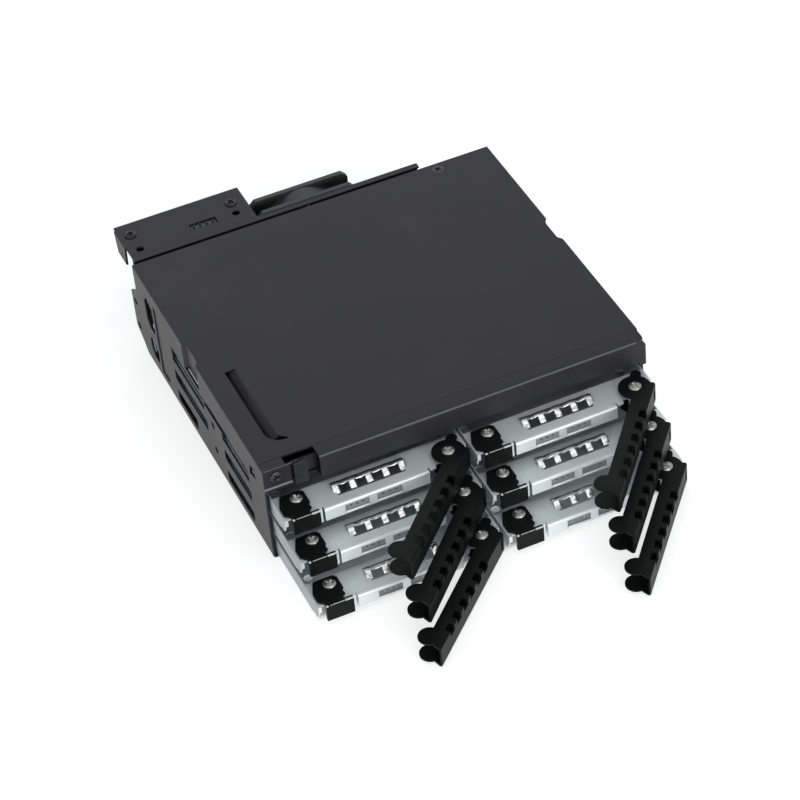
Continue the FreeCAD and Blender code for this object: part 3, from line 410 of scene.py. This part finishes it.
# how far edges are rounded, in metres, and which of them
edges = {
    "round": 0.00009, "segments": 2,
    "fine": {"spring_strip": 0.00003, "circuit_board": 0.00003, "black_plastic": 0.00012,
             "plated_sheet": 0.00007},
    "sharp": 32.0, "flat": 0.8,             # degrees
    "grown": 1.0002,                        # an eased skin that grew more than this is torn
}


def skinArea(mesh):
    # sum of the triangles' areas
    mesh.calc_loop_triangles()
    sizes = np.empty(len(mesh.loop_triangles))
    mesh.loop_triangles.foreach_get("area", sizes)
    return sizes.sum()


def joinedSkin(node):
    # the node's triangles on shared corners, without those that joining them made empty
    source = frame["nodes"][node].data
    corners = np.empty(len(source.vertices) * 3)
    source.vertices.foreach_get("co", corners)
    loops = np.empty(len(source.loops), dtype=np.int64)
    source.loops.foreach_get("vertex_index", loops)
    points, joined = np.unique(np.round(corners.reshape(-1, 3), 8), axis=0, return_inverse=True)
    faces = joined.reshape(-1)[loops].reshape(-1, 3)
    whole = (faces != np.roll(faces, -1, axis=1)).all(axis=1)
    mesh = bpy.data.meshes.new(node + "_skin")
    mesh.from_pydata(points.tolist(), [], faces[whole].tolist())
    return mesh


def easeEdges(piece, width):
    bevel = piece.modifiers.new("easedEdges", "BEVEL")
    bevel.width = width
    bevel.segments = edges["segments"]
    bevel.limit_method = "ANGLE"
    bevel.angle_limit = math.radians(edges["sharp"])
    bevel.use_clamp_overlap = True
    bevel.harden_normals = True
    bevel.miter_outer = "MITER_ARC"


def dressed(node, marking=None, cut=False):
    # The node's own surface, with flat faces made whole and edges eased. Marking gives each face
    # its mark from its middle and its normal. Easing edges can only take area away, so a skin that
    # grew has a torn face, and is made again with its many-sided faces cut into triangles.
    mesh = joinedSkin(node)
    work = bmesh.new()
    work.from_mesh(mesh)
    flat = math.radians(edges["flat"])
    bmesh.ops.dissolve_limit(work, angle_limit=flat, verts=work.verts, edges=work.edges)
    if cut:
        many = [face for face in work.faces if len(face.verts) > 4]
        bmesh.ops.triangulate(work, faces=many, quad_method="BEAUTY", ngon_method="BEAUTY")
    work.to_mesh(mesh)
    work.free()
    shadeSmooth(mesh, edges["sharp"])
    if marking:
        middles, normals = np.empty(len(mesh.polygons) * 3), np.empty(len(mesh.polygons) * 3)
        mesh.polygons.foreach_get("center", middles)
        mesh.polygons.foreach_get("normal", normals)
        setMarks(mesh, marking(middles.reshape(-1, 3), normals.reshape(-1, 3)))
    slot = slotOf[node]
    piece = landed(node + "_dressed", mesh, slot, bodyOf[node], (node,))
    easeEdges(piece, edges["fine"].get(slot, edges["round"]))
    eased = piece.evaluated_get(bpy.context.evaluated_depsgraph_get())
    if not cut and skinArea(eased.data) > edges["grown"] * skinArea(mesh):
        bpy.data.objects.remove(piece, do_unlink=True)
        piece = dressed(node, marking, cut=True)
    return piece


# a tray's front flange and the rolled lips under its pressed panels, in mm from the tray's
# centre line, pivot line and underside
lips = {"flange": -4.65, "spans": ((-13.4, -4.6), (-1.4, 7.9)), "front": -4.74, "height": 2.62,
        "radius": 0.36}

# how far marked faces turn to their second finish, and where they are: painted shade on plated
# sheet, and on the black coats bare metal that is partly wear and partly a painted highlight
marks = {
    "panel": 1.0, "sunk": (0.1, 0.5),       # painted shade on pressed panels, so many mm behind the flange
    "cheekShade": 0.55,                          # painted shade on the tray's left side
    "bezelFold": 0.14, "foldDepth": 1.5,    # worn bare and painted highlight on the bezel's top fold, mm down from the top
    # worn bare and painted highlight on the corner bracket's forward folds
    "bracketFold": 0.4,
    "square": 0.95, "sideways": 0.8, "sloped": 0.45, "eased": 0.6,      # of a normal, along an axis
}


def pressedPanels(tag):
    # the flange's pressed panels face forward a little behind the flange and get painted shade; the tray's
    # left side gets less
    def marking(middles, normals):
        behind = (middles[:, 1] - trayAt[tag][1]) / mm - lips["flange"]
        sunk = (behind > marks["sunk"][0]) & (behind < marks["sunk"][1])
        panel = sunk & (normals[:, 1] < -marks["square"])
        return np.where(panel, marks["panel"], marks["cheekShade"] * (normals[:, 0] < -marks["sideways"]))
    return marking


def rubbedFold(amount, above):
    # folds and ridges that look forward and up, from a height on, turn to bare metal by an amount:
    # partly wear and partly a painted highlight
    def marking(middles, normals):
        sloped = (normals[:, 1] < -marks["sloped"]) & (normals[:, 2] > marks["sloped"])
        return amount * (sloped & (middles[:, 2] > above))
    return marking


def slopedLip(middles, normals):
    # the eased top edge of a latch's block looks forward and up at 45 degrees; it turns to bare
    # metal, partly wear and partly a painted highlight
    return (normals[:, 1] < -marks["eased"]) & (normals[:, 2] > marks["eased"])


tags = [side + "_" + str(number) for side in ("left", "right") for number in (1, 2, 3)]
headRadius = 2.3    # mm, of every screw head; a tray's pivot screw reaches this far ahead of its pivot line
trayAt = {}         # each tray's centre line, pivot line and underside
for tag in tags:
    low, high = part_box("tray_" + tag)
    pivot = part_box("tray_screws_" + tag)[0].y + headRadius * mm
    trayAt[tag] = np.array(((low.x + high.x) / 2, pivot, low.z))

# marks: painted shade on the trays, and bare metal with a painted highlight on black folds and lips
markings = {"front_bezel": rubbedFold(marks["bezelFold"], cadHigh.z - marks["foldDepth"] * mm),
            "corner_bracket": rubbedFold(marks["bracketFold"], 0.0)}
for tag in tags:
    markings["tray_" + tag] = pressedPanels(tag)
    markings["latch_" + tag] = slopedLip
for node in frame["nodes"]:
    rebuilt = "screw" in node or node.startswith("finger_strip") or node == "fan_rotor"
    if not rebuilt:
        dressed(node, markings.get(node))
print("sheet and moulded pieces dressed")


# five sprung tongues off an arched crest, in mm from the tray's centre line, pivot line and underside
tongues = {
    "count": 5, "width": 2.5, "pitch": 6.25, "middle": -1.2,
    "front": 1.0, "gapFront": 3.6, "crest": 4.75, "back": 6.58,
    "sheet": 7.0, "rise": 1.44,             # the tray's top, and the crest above it
    "dip": 0.30, "valley": 0.34, "thick": 0.2,
    "crown": 0.12, "fades": 0.6,            # the crown fades past this share of the way to the crest
    "across": (7, 9), "along": (16, 15),    # points over a tongue and a gap, before and behind gapFront
    "ahead": 1.15, "behind": 0.8,           # powers that fill out the arch
    "sharp": 50.0,                          # degrees
}


def tongueColumns():
    # x of each column of points, and its place: -1 to 1 over a tongue, 2 to 3 over a gap
    width, pitch = tongues["width"], tongues["pitch"]
    left = tongues["middle"] - ((tongues["count"] - 1) * pitch + width) / 2
    over = np.linspace(0, 1, tongues["across"][0])
    between = np.linspace(0, 1, tongues["across"][1])[1:-1]
    columns, place = [], []
    for number in range(tongues["count"]):
        start = left + number * pitch
        columns.append(start + width * over)
        place.append(2 * over - 1)
        if number < tongues["count"] - 1:
            columns.append(start + width + (pitch - width) * between)
            place.append(2 + between)
    return np.concatenate(columns), np.concatenate(place)


def fingerStrip(tag):
    # Grid over x and y. Height behind the crest is rise times the cosine of a quarter turn over
    # the run to the back edge, and in front of it the sine of a quarter turn from the tongue's
    # tip, which dips under the sheet. Between tongues the crest sinks by valley times the square
    # of a half turn's sine. Cells in front of the gaps are left out.
    front, crest, back, gapFront = (tongues[key] for key in ("front", "crest", "back", "gapFront"))
    sheet, rise, thick = (tongues[key] for key in ("sheet", "rise", "thick"))
    x, place = tongueColumns()
    y = np.concatenate([np.linspace(front, gapFront, tongues["along"][0]),
                        np.linspace(gapFront, back, tongues["along"][1])[1:]])
    ahead = np.clip((y - front) / (crest - front), 0, 1)
    behind = np.clip((y - crest) / (back - crest), 0, 1)
    tip = sheet - tongues["dip"]
    climb = tip + (sheet + rise - tip) * np.sin(ahead * math.pi / 2) ** tongues["ahead"]
    fall = sheet + thick + (rise - thick) * np.cos(behind * math.pi / 2) ** tongues["behind"]
    arch = np.where(y < crest, climb, fall)
    onTongue = place < 2
    bow = tongues["crown"] * np.where(onTongue, place ** 2, 1.0)
    sink = tongues["valley"] * np.where(onTongue, 0.0, np.sin((place - 2) * math.pi) ** 2)
    grid = np.zeros((len(y), len(x), 3))
    grid[..., 0], grid[..., 1] = x[None, :], y[:, None]
    grid[..., 2] = arch[:, None] - bow[None, :] * np.clip(1 + tongues["fades"] - ahead, 0, 1)[:, None]
    grid[..., 2] -= sink[None, :] * (1 - behind)[:, None]
    tongueCell = onTongue[:-1] & onTongue[1:]
    crestCell = y[:-1] >= gapFront
    kept = patch(len(y), len(x))[tongueCell[None, :] | crestCell[:, None]]
    name = "finger_strip_" + tag + "_sprung"
    mesh = surface(name, grid.reshape(-1, 3) * mm + trayAt[tag], kept.tolist(), tongues["sharp"])
    piece = landed(name, mesh, "spring_strip", "tray_" + tag, ("finger_strip_" + tag,))
    giveWall(piece, thick, -1.0)


for tag in tags:
    fingerStrip(tag)
print("finger strips made")


# a roll is drawn in at both ends: mm from the end, and the share of the radius there
roll = {"sides": 12, "steps": (0.0, 0.12, 0.3), "shares": (0.45, 0.85, 1.0), "sharp": 60.0}

# worn front edge of each latch plate, a bare roll that is also a painted highlight line, in mm
# from the latch's left, front and top
latchEdge = {"span": (3.2, 8.7), "back": 0.05, "below": 0.04, "radius": 0.15, "mark": 0.8}

# worn front edge of the corner bracket, a bare roll that is also a painted highlight line, in mm
# from its left and right ends, front and top
cornerEdge = {"left": 0.4, "right": 2.6, "back": 0.6, "below": 0.1, "radius": 0.09, "mark": 0.3}


def rolledEdges(name, spans, place, radius, slot, body, mark=0.0):
    # each is a circle carried along x over its span, in mm from a place, and drawn in at both ends
    points, faces = [], []
    count = 0
    angle = np.linspace(0, 2 * math.pi, roll["sides"], endpoint=False)
    steps, shares = np.array(roll["steps"]), np.array(roll["shares"])
    size = radius * np.concatenate([shares, shares[::-1]])
    for start, end in spans:
        along = np.concatenate([start + steps, end - steps[::-1]])
        grid = np.empty((len(along), len(angle), 3))
        grid[..., 0] = along[:, None]
        grid[..., 1] = size[:, None] * np.cos(angle)
        grid[..., 2] = size[:, None] * np.sin(angle)
        more, skin = rings(grid, count)
        points.append(more)
        faces += [face[::-1] for face in skin]
        count += len(more)
    mesh = surface(name, np.concatenate(points) * mm + np.array(place), faces, roll["sharp"])
    setMarks(mesh, np.full(len(mesh.polygons), mark))
    landed(name, mesh, slot, body)


def wornEdge(name, look, span, low, high, slot, body):
    # one marked roll along the upper front edge of a box: worn bare and a painted highlight line
    place = (low.x, low.y + look["back"] * mm, high.z - look["below"] * mm)
    rolledEdges(name, (span,), place, look["radius"], slot, body, look["mark"])


for tag in tags:
    rolledEdges("panelLips_" + tag, lips["spans"],
                trayAt[tag] + np.array((0, lips["front"], lips["height"])) * mm,
                lips["radius"], "plated_sheet", "tray_" + tag)
    low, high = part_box("latch_" + tag)
    wornEdge("latchEdge_" + tag, latchEdge, latchEdge["span"], low, high, "black_lever", "latch_" + tag)
low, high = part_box("corner_bracket")
span = (cornerEdge["left"], (high.x - low.x) / mm - cornerEdge["right"])
wornEdge("cornerEdge", cornerEdge, span, low, high, "black_sheet", "cage")
print("panel lips and worn edges made")


# a cross pressed into each head, in mm, with the number of rings and of cells over half an arm;
# ramp is the share of the arm that climbs to its end, and lean how far a wall leans
cross = {"arm": 0.40, "reach": 1.40, "depth": 0.62, "ramp": 0.45, "lean": 0.06,
         "rings": 30, "across": 4, "sharp": 38.0}

# a pan head, in mm, with the radii of its middle ring, its edge and its foot as shares of its own;
# its rim bends down from an angle in radians
panHead = {"rise": 0.9, "shank": 1.5, "middle": 0.02, "edge": 0.93, "foot": 0.985, "under": 0.08,
           "bend": 0.3, "droop": 1.1, "chamfer": 0.1}
flatHead = {"lip": 0.04, "chamfer": 0.3}


def crossAngles(radii):
    # On each ring the angles crowd to the two walls of each arm, at asin(arm / radius). Sunk says
    # which of them lie between those walls.
    steps = cross["across"] + 1
    share = np.concatenate([np.linspace(0, 1, steps), 1 + np.linspace(cross["lean"], 1, steps)])
    opening = np.arcsin(np.clip(cross["arm"] / radii, 0, 1))
    inside = math.pi / 4 - 0.02         # rings that lie whole within the cross meet no walls
    wall = np.where(radii > cross["arm"] * math.sqrt(2), opening, inside)
    eighth = np.clip(share, 0, 1)[None, :] * wall[:, None]
    eighth = eighth + np.clip(share - 1, 0, 1)[None, :] * (math.pi / 4 - wall[:, None])
    quarter = np.concatenate([eighth, math.pi / 2 - eighth[:, -2:0:-1]], axis=1)
    half = share <= 1
    sunk = np.tile(np.concatenate([half, half[-2:0:-1]]), 4)
    return np.concatenate([quarter + turn * math.pi / 2 for turn in range(4)], axis=1), sunk


def headOutline(spot, radii):
    # Heights of the head's rings, then radius and height from the rim down the shank. A pan head
    # is the cap of a ball, with a rim that rounds down by droop; a flat head is a cone.
    rise, shank, length = spot["rise"], spot["shank"], spot["length"]
    if spot["flat"]:
        chamfer = flatHead["chamfer"]
        rim = [[headRadius * panHead["foot"], rise], [headRadius, rise - flatHead["lip"]]]
        shaft = [[shank, 0.0], [shank, chamfer - length], [shank - chamfer, -length]]
        return np.full(len(radii), rise), np.array(rim + shaft)
    ball = (headRadius ** 2 + (rise * 0.5) ** 2) / rise
    dome = rise - ball + np.sqrt(ball ** 2 - radii ** 2)
    edge = radii[-1]
    bend = np.linspace(panHead["bend"], math.pi / 2, 5)
    down = (headRadius - edge) * panHead["droop"] * (1 - np.cos(bend))
    side = np.stack([edge + (headRadius - edge) * np.sin(bend), dome[-1] - down], axis=-1)
    chamfer = panHead["chamfer"]
    foot = [[headRadius, panHead["under"]], [headRadius * panHead["foot"], 0.0]]
    shaft = [[shank, 0.0], [shank, chamfer - length], [shank - chamfer, -length]]
    return dome, np.concatenate([side, np.array(foot + shaft)])


def crossScrew(name, spots, slot, body, nodes):
    # Rings from the axis out over the head, round the rim, in to the shank and down it. Between
    # the walls of an arm the head's height falls by depth, less towards the arm's end at reach.
    radii = headRadius * np.linspace(panHead["middle"], panHead["edge"], cross["rings"])
    angle, sunk = crossAngles(radii)
    along = radii[:, None] * np.maximum(np.abs(np.cos(angle)), np.abs(np.sin(angle)))
    ramp = np.clip((cross["reach"] - along) / (cross["ramp"] * cross["reach"]), 0, 1)
    fall = cross["depth"] * ramp * sunk[None, :]
    turn, count = angle[-1], len(radii)
    points, faces = [], []
    start = 0
    for spot in spots:
        dome, rest = headOutline(spot, radii)
        grid = np.empty((count + len(rest), len(turn), 3))
        grid[:count, :, 0] = radii[:, None] * np.cos(angle)
        grid[:count, :, 1] = radii[:, None] * np.sin(angle)
        grid[:count, :, 2] = dome[:, None] - fall
        grid[count:, :, 0] = rest[:, :1] * np.cos(turn)
        grid[count:, :, 1] = rest[:, :1] * np.sin(turn)
        grid[count:, :, 2] = rest[:, 1:]
        more, skin = rings(grid, start)
        points.append((more * mm) @ np.stack(spot["axes"]) + np.array(spot["at"]))
        faces += skin
        start += len(more)
    mesh = surface(name, np.concatenate(points), faces, cross["sharp"])
    landed(name, mesh, slot, body, nodes)


# a screw's own right, ahead and up, as the frame's axes
upright = np.array(((1.0, 0.0, 0.0), (0.0, 1.0, 0.0), (0.0, 0.0, 1.0)))
backward = np.array(((1.0, 0.0, 0.0), (0.0, 0.0, -1.0), (0.0, 1.0, 0.0)))     # head towards +Y
forward = np.array(((1.0, 0.0, 0.0), (0.0, 0.0, 1.0), (0.0, -1.0, 0.0)))      # head towards -Y


def turned(axes, degrees):
    # the same axes with the cross turned about the screw
    right, ahead, up = axes
    cosine, sine = math.cos(math.radians(degrees)), math.sin(math.radians(degrees))
    return right * cosine + ahead * sine, ahead * cosine - right * sine, up


def spotAt(x, y, z, axes, degrees, length, rise=panHead["rise"], shank=panHead["shank"], flat=False):
    # where a head's underside sits, in metres, which way it looks, and its sizes in mm
    return {"at": (x, y, z), "axes": turned(axes, degrees), "rise": rise, "shank": shank,
            "length": length, "flat": flat}


# lengths below the head, in mm, and how each cross is turned, in degrees
shanks = {"latch": 0.86, "pivot": 0.76, "cover": 2.3, "corner": 1.5, "shelf": 0.8, "fan": 1.9}
crossTurns = {"left_1": (10, 25), "left_2": (35, 12), "left_3": (38, 2),
              "right_1": (20, 5), "right_2": (12, 8), "right_3": (28, 22),
              "cover": 40, "corner": 20, "shelf": (15, 30)}
lift = 0.02                                         # mm between a tray screw's head and its plate
coverScrew = {"cone": 0.7, "shank": 1.25}           # mm
fanScrew = {"half": 16.0, "across": 25, "up": 10}   # half the spacing in mm, and the crosses' turns
inset = headRadius * mm                             # from a box's side to the screw's axis
headHeight = panHead["rise"] * mm                   # from a head's top to its underside

for tag in tags:
    low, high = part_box("tray_screws_" + tag)
    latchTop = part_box("latch_" + tag)[1].z + lift * mm
    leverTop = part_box("lever_" + tag)[1].z + lift * mm
    latchTurn, pivotTurn = crossTurns[tag]
    spots = [spotAt(low.x + inset, high.y - inset, latchTop, upright, latchTurn, shanks["latch"]),
             spotAt(high.x - inset, low.y + inset, leverTop, upright, pivotTurn, shanks["pivot"])]
    crossScrew("tray_screws_" + tag + "_cross", spots, "bright_screw", "tray_" + tag,
               ("tray_screws_" + tag,))

low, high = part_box("cover_screw")
spots = [spotAt((low.x + high.x) / 2, (low.y + high.y) / 2, high.z - coverScrew["cone"] * mm, upright,
                crossTurns["cover"], shanks["cover"], coverScrew["cone"], coverScrew["shank"], flat=True)]
crossScrew("cover_screw_cross", spots, "dark_screw", "cage", ("cover_screw",))

low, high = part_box("corner_screw")
spots = [spotAt((low.x + high.x) / 2, low.y + headHeight, (low.z + high.z) / 2, forward,
                crossTurns["corner"], shanks["corner"])]
crossScrew("corner_screw_cross", spots, "dark_screw", "cage", ("corner_screw",))

low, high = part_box("shelf_screws")
leftTurn, rightTurn = crossTurns["shelf"]
spots = [spotAt(low.x + inset, high.y - inset, high.z - headHeight, upright, leftTurn, shanks["shelf"]),
         spotAt(high.x - inset, low.y + inset, high.z - headHeight, upright, rightTurn, shanks["shelf"])]
crossScrew("shelf_screws_cross", spots, "dark_screw", "cage", ("shelf_screws",))

fanLow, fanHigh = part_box("fan_frame")
fanX, fanZ = (fanLow.x + fanHigh.x) / 2, (fanLow.z + fanHigh.z) / 2
half = fanScrew["half"] * mm
spots = [spotAt(fanX + side * half, fanHigh.y, fanZ + level * half, backward,
                fanScrew["across"] * side + fanScrew["up"] * level, shanks["fan"])
         for side in (-1, 1) for level in (-1, 1)]
crossScrew("fanScrews", spots, "dark_screw", "cage", ())
print("screws cut")


# in mm from the rotor's axis and its front; the hub's face is dished, and foot is its last step
hub = {"radius": 10.9, "depth": 7.9, "round": 1.1, "eye": 0.5, "dish": 0.25, "foot": 0.05, "sides": 96,
       "dishEnds": (0.82, 0.84, 0.86)}      # shares of the flat's radius where the dish climbs out
blade = {"count": 7, "root": 10.4, "tip": 18.1, "thick": 0.8, "wide": 6.2, "taper": 0.12,
         "camber": 0.9, "sweep": 16.0, "chord": 40.0, "points": (12, 13)}   # sweep and chord in degrees
rotorSharp = 40.0       # degrees


def fanHub(axis):
    # a profile of radius and depth turned about the axis, rounded at its front
    turn = np.linspace(0, 2 * math.pi, hub["sides"], endpoint=False)
    bend = np.linspace(0, math.pi / 2, 7)
    flat = hub["radius"] - hub["round"]
    dishEnds = flat * np.array(hub["dishEnds"])
    radius = np.concatenate([[hub["eye"]], dishEnds, flat + hub["round"] * np.sin(bend),
                             [hub["radius"], hub["eye"]]])
    depth = np.concatenate([[hub["dish"], hub["dish"], hub["foot"], 0.0],
                            hub["round"] * (1 - np.cos(bend)), [hub["depth"], hub["depth"]]])
    across, up = radius[:, None] * np.cos(turn), radius[:, None] * np.sin(turn)
    points, faces = rings(np.stack([across, np.repeat(depth[:, None], len(turn), axis=1), up], axis=-1))
    mesh = surface("fanHub", points * mm + axis, [face[::-1] for face in faces], rotorSharp)
    landed("fanHub", mesh, "black_plastic", "fan_rotor", ("fan_rotor",))


def fanBlades(axis):
    # Grids over radius and chord. The angle runs over the chord and leans with the radius by
    # sweep, and the depth runs with the chord plus a bow of camber.
    span = np.linspace(0, 1, blade["points"][0])[:, None]
    chord = np.linspace(-0.5, 0.5, blade["points"][1])[None, :]
    out = (blade["root"] + (blade["tip"] - blade["root"]) * span) * np.ones_like(chord)
    back = hub["depth"] / 2 + blade["wide"] * (1 - blade["taper"] * span) * chord
    back = back + blade["camber"] * (0.25 - chord ** 2) * 2
    cells = patch(*blade["points"]).reshape(-1, 4)
    points, faces = [], []
    for number in range(blade["count"]):
        lean = 360.0 / blade["count"] * number + blade["sweep"] * span ** 1.5
        around = np.radians(lean + blade["chord"] * chord)
        grid = np.stack([out * np.cos(around), back, out * np.sin(around)], axis=-1)
        points.append(grid.reshape(-1, 3))
        faces += (cells + number * out.size).tolist()
    mesh = surface("fanBlades", np.concatenate(points) * mm + axis, faces, rotorSharp)
    giveWall(landed("fanBlades", mesh, "black_plastic", "fan_rotor"), blade["thick"], 0.0)


low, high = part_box("fan_rotor")
axis = np.array(((low.x + high.x) / 2, low.y, (low.z + high.z) / 2))
fanHub(axis)
fanBlades(axis)
print("fan rotor made")


# stage: floor, lamps and sky, in metres
floorLook = {
    "colour": (0.86, 0.86, 0.86, 1.0), "rough": 0.9, "gloss": 0.1,
    "glow": 1.5, "share": 0.44, "mirrored": 0.6,    # of the glow, to the camera and in mirrors
    "hidden": (0.069, 0.0865), "middle": 0.0495,    # half width and half depth under the cage
    "edge": 30.0,                                   # how soon the glow starts past them
    "reach": 6.0, "below": 0.0001,
}


def floorFinish():
    # pale, and white where nothing shades it: part of what the camera and mirrors see is a plain
    # white glow. Under the cage it keeps its whole shadow, which is seen through the trays' holes.
    finish = Finish("paleFloor")
    finish.fit(Base_Color=floorLook["colour"], Roughness=floorLook["rough"],
               Specular_IOR_Level=floorLook["gloss"])
    camera = finish.node("ShaderNodeLightPath", output="Is Camera Ray")
    direct = camera + camera.beside("Is Transmission Ray")
    x = finish.node("ShaderNodeSeparateXYZ", None, {0: finish.place})
    halfWidth, halfDepth = floorLook["hidden"]
    across = abs(x) * (1 / halfWidth)
    along = abs(x.beside("Y") - floorLook["middle"]) * (1 / halfDepth)
    opened = ((across.maths("MAXIMUM", across, along) - 1.0) * floorLook["edge"]).clipped()
    mirrored = camera.beside("Is Glossy Ray") * floorLook["mirrored"]
    seen = direct * opened * floorLook["share"] + mirrored
    glow = finish.node("ShaderNodeEmission", None, {"Color": (1.0, 1.0, 1.0, 1.0),
                                                    "Strength": floorLook["glow"]})
    pale = Value(finish, finish.shader.outputs["BSDF"])
    finish.plug(finish.surface, finish.node("ShaderNodeMixShader", None, {0: seen, 1: pale, 2: glow}))
    return finish.material


def makeFloor():
    mesh = bpy.data.meshes.new("floor")
    reach = floorLook["reach"]
    corners = [(-reach, -reach, 0), (reach, -reach, 0), (reach, reach, 0), (-reach, reach, 0)]
    mesh.from_pydata(corners, [], [(0, 1, 2, 3)])
    mesh.materials.append(floorFinish())
    floor = bpy.data.objects.new("floor", mesh)
    floor.location.z = cadLow.z - floorLook["below"]
    bpy.context.scene.collection.objects.link(floor)
    floor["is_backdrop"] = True


lamps = {
    "keyLeft": {"place": (-1.6, -0.9, 1.3), "aim": (0, 0.05, 0.02), "size": (1.2, 1.2), "watts": 9.0},
    "fillFront": {"place": (0.35, -2.2, 0.55), "aim": (0, 0, 0.02), "size": (1.6, 0.9), "watts": 41.0},
    "topFront": {"place": (0.1, -0.5, 2.0), "aim": (0, 0, 0.02), "size": (2.2, 1.2), "watts": 9.0},
    "topBack": {"place": (0.5, 1.9, 1.25), "aim": (0, 0.1, 0.04), "size": (1.9, 0.9), "watts": 10.5},
}
sky = {"colour": (0.92, 0.96, 1.0, 1.0), "strength": 0.42}


def softBox(name, place, aim, size, watts):
    lamp = bpy.data.lights.new(name, "AREA")
    lamp.shape = "RECTANGLE"
    lamp.size, lamp.size_y = size
    lamp.energy = watts
    holder = bpy.data.objects.new(name, lamp)
    holder.location = place
    way = Vector(aim) - Vector(place)
    holder.rotation_euler = way.to_track_quat("-Z", "Y").to_euler()
    bpy.context.scene.collection.objects.link(holder)


def lightSky():
    world = bpy.data.worlds.new("studio")
    world.use_nodes = True
    background = world.node_tree.nodes["Background"]
    background.inputs["Color"].default_value = sky["colour"]
    background.inputs["Strength"].default_value = sky["strength"]
    bpy.context.scene.world = world


makeFloor()
for name, lamp in lamps.items():
    softBox(name, **lamp)
lightSky()
bpy.context.scene.view_settings.view_transform = "Standard"
print("stage lit")


# degrees, the lens in mm and the camera's place in metres
viewpoint = {"azimuth": -20.322, "elevation": 41.477, "roll": -5.884, "lens": 133.914,
             "place": (-0.285668, -0.720727, 0.726840)}


def makeCamera():
    # back, right and up from the two angles, then right and up turned by the roll
    azimuth, elevation, roll = (math.radians(viewpoint[key]) for key in ("azimuth", "elevation", "roll"))
    level = math.cos(elevation)
    back = Vector((math.sin(azimuth) * level, -math.cos(azimuth) * level, math.sin(elevation)))
    right = Vector((math.cos(azimuth), math.sin(azimuth), 0.0))
    up = back.cross(right)
    across = right * math.cos(roll) + up * math.sin(roll)
    above = up * math.cos(roll) - right * math.sin(roll)
    camera = bpy.data.cameras.new("camera")
    camera.sensor_width = 36.0
    camera.lens = viewpoint["lens"]
    holder = bpy.data.objects.new("camera", camera)
    turn = Matrix((across, above, back)).transposed().to_4x4()
    holder.matrix_world = Matrix.Translation(Vector(viewpoint["place"])) @ turn
    bpy.context.scene.collection.objects.link(holder)
    bpy.context.scene.camera = holder


makeCamera()
low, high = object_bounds()
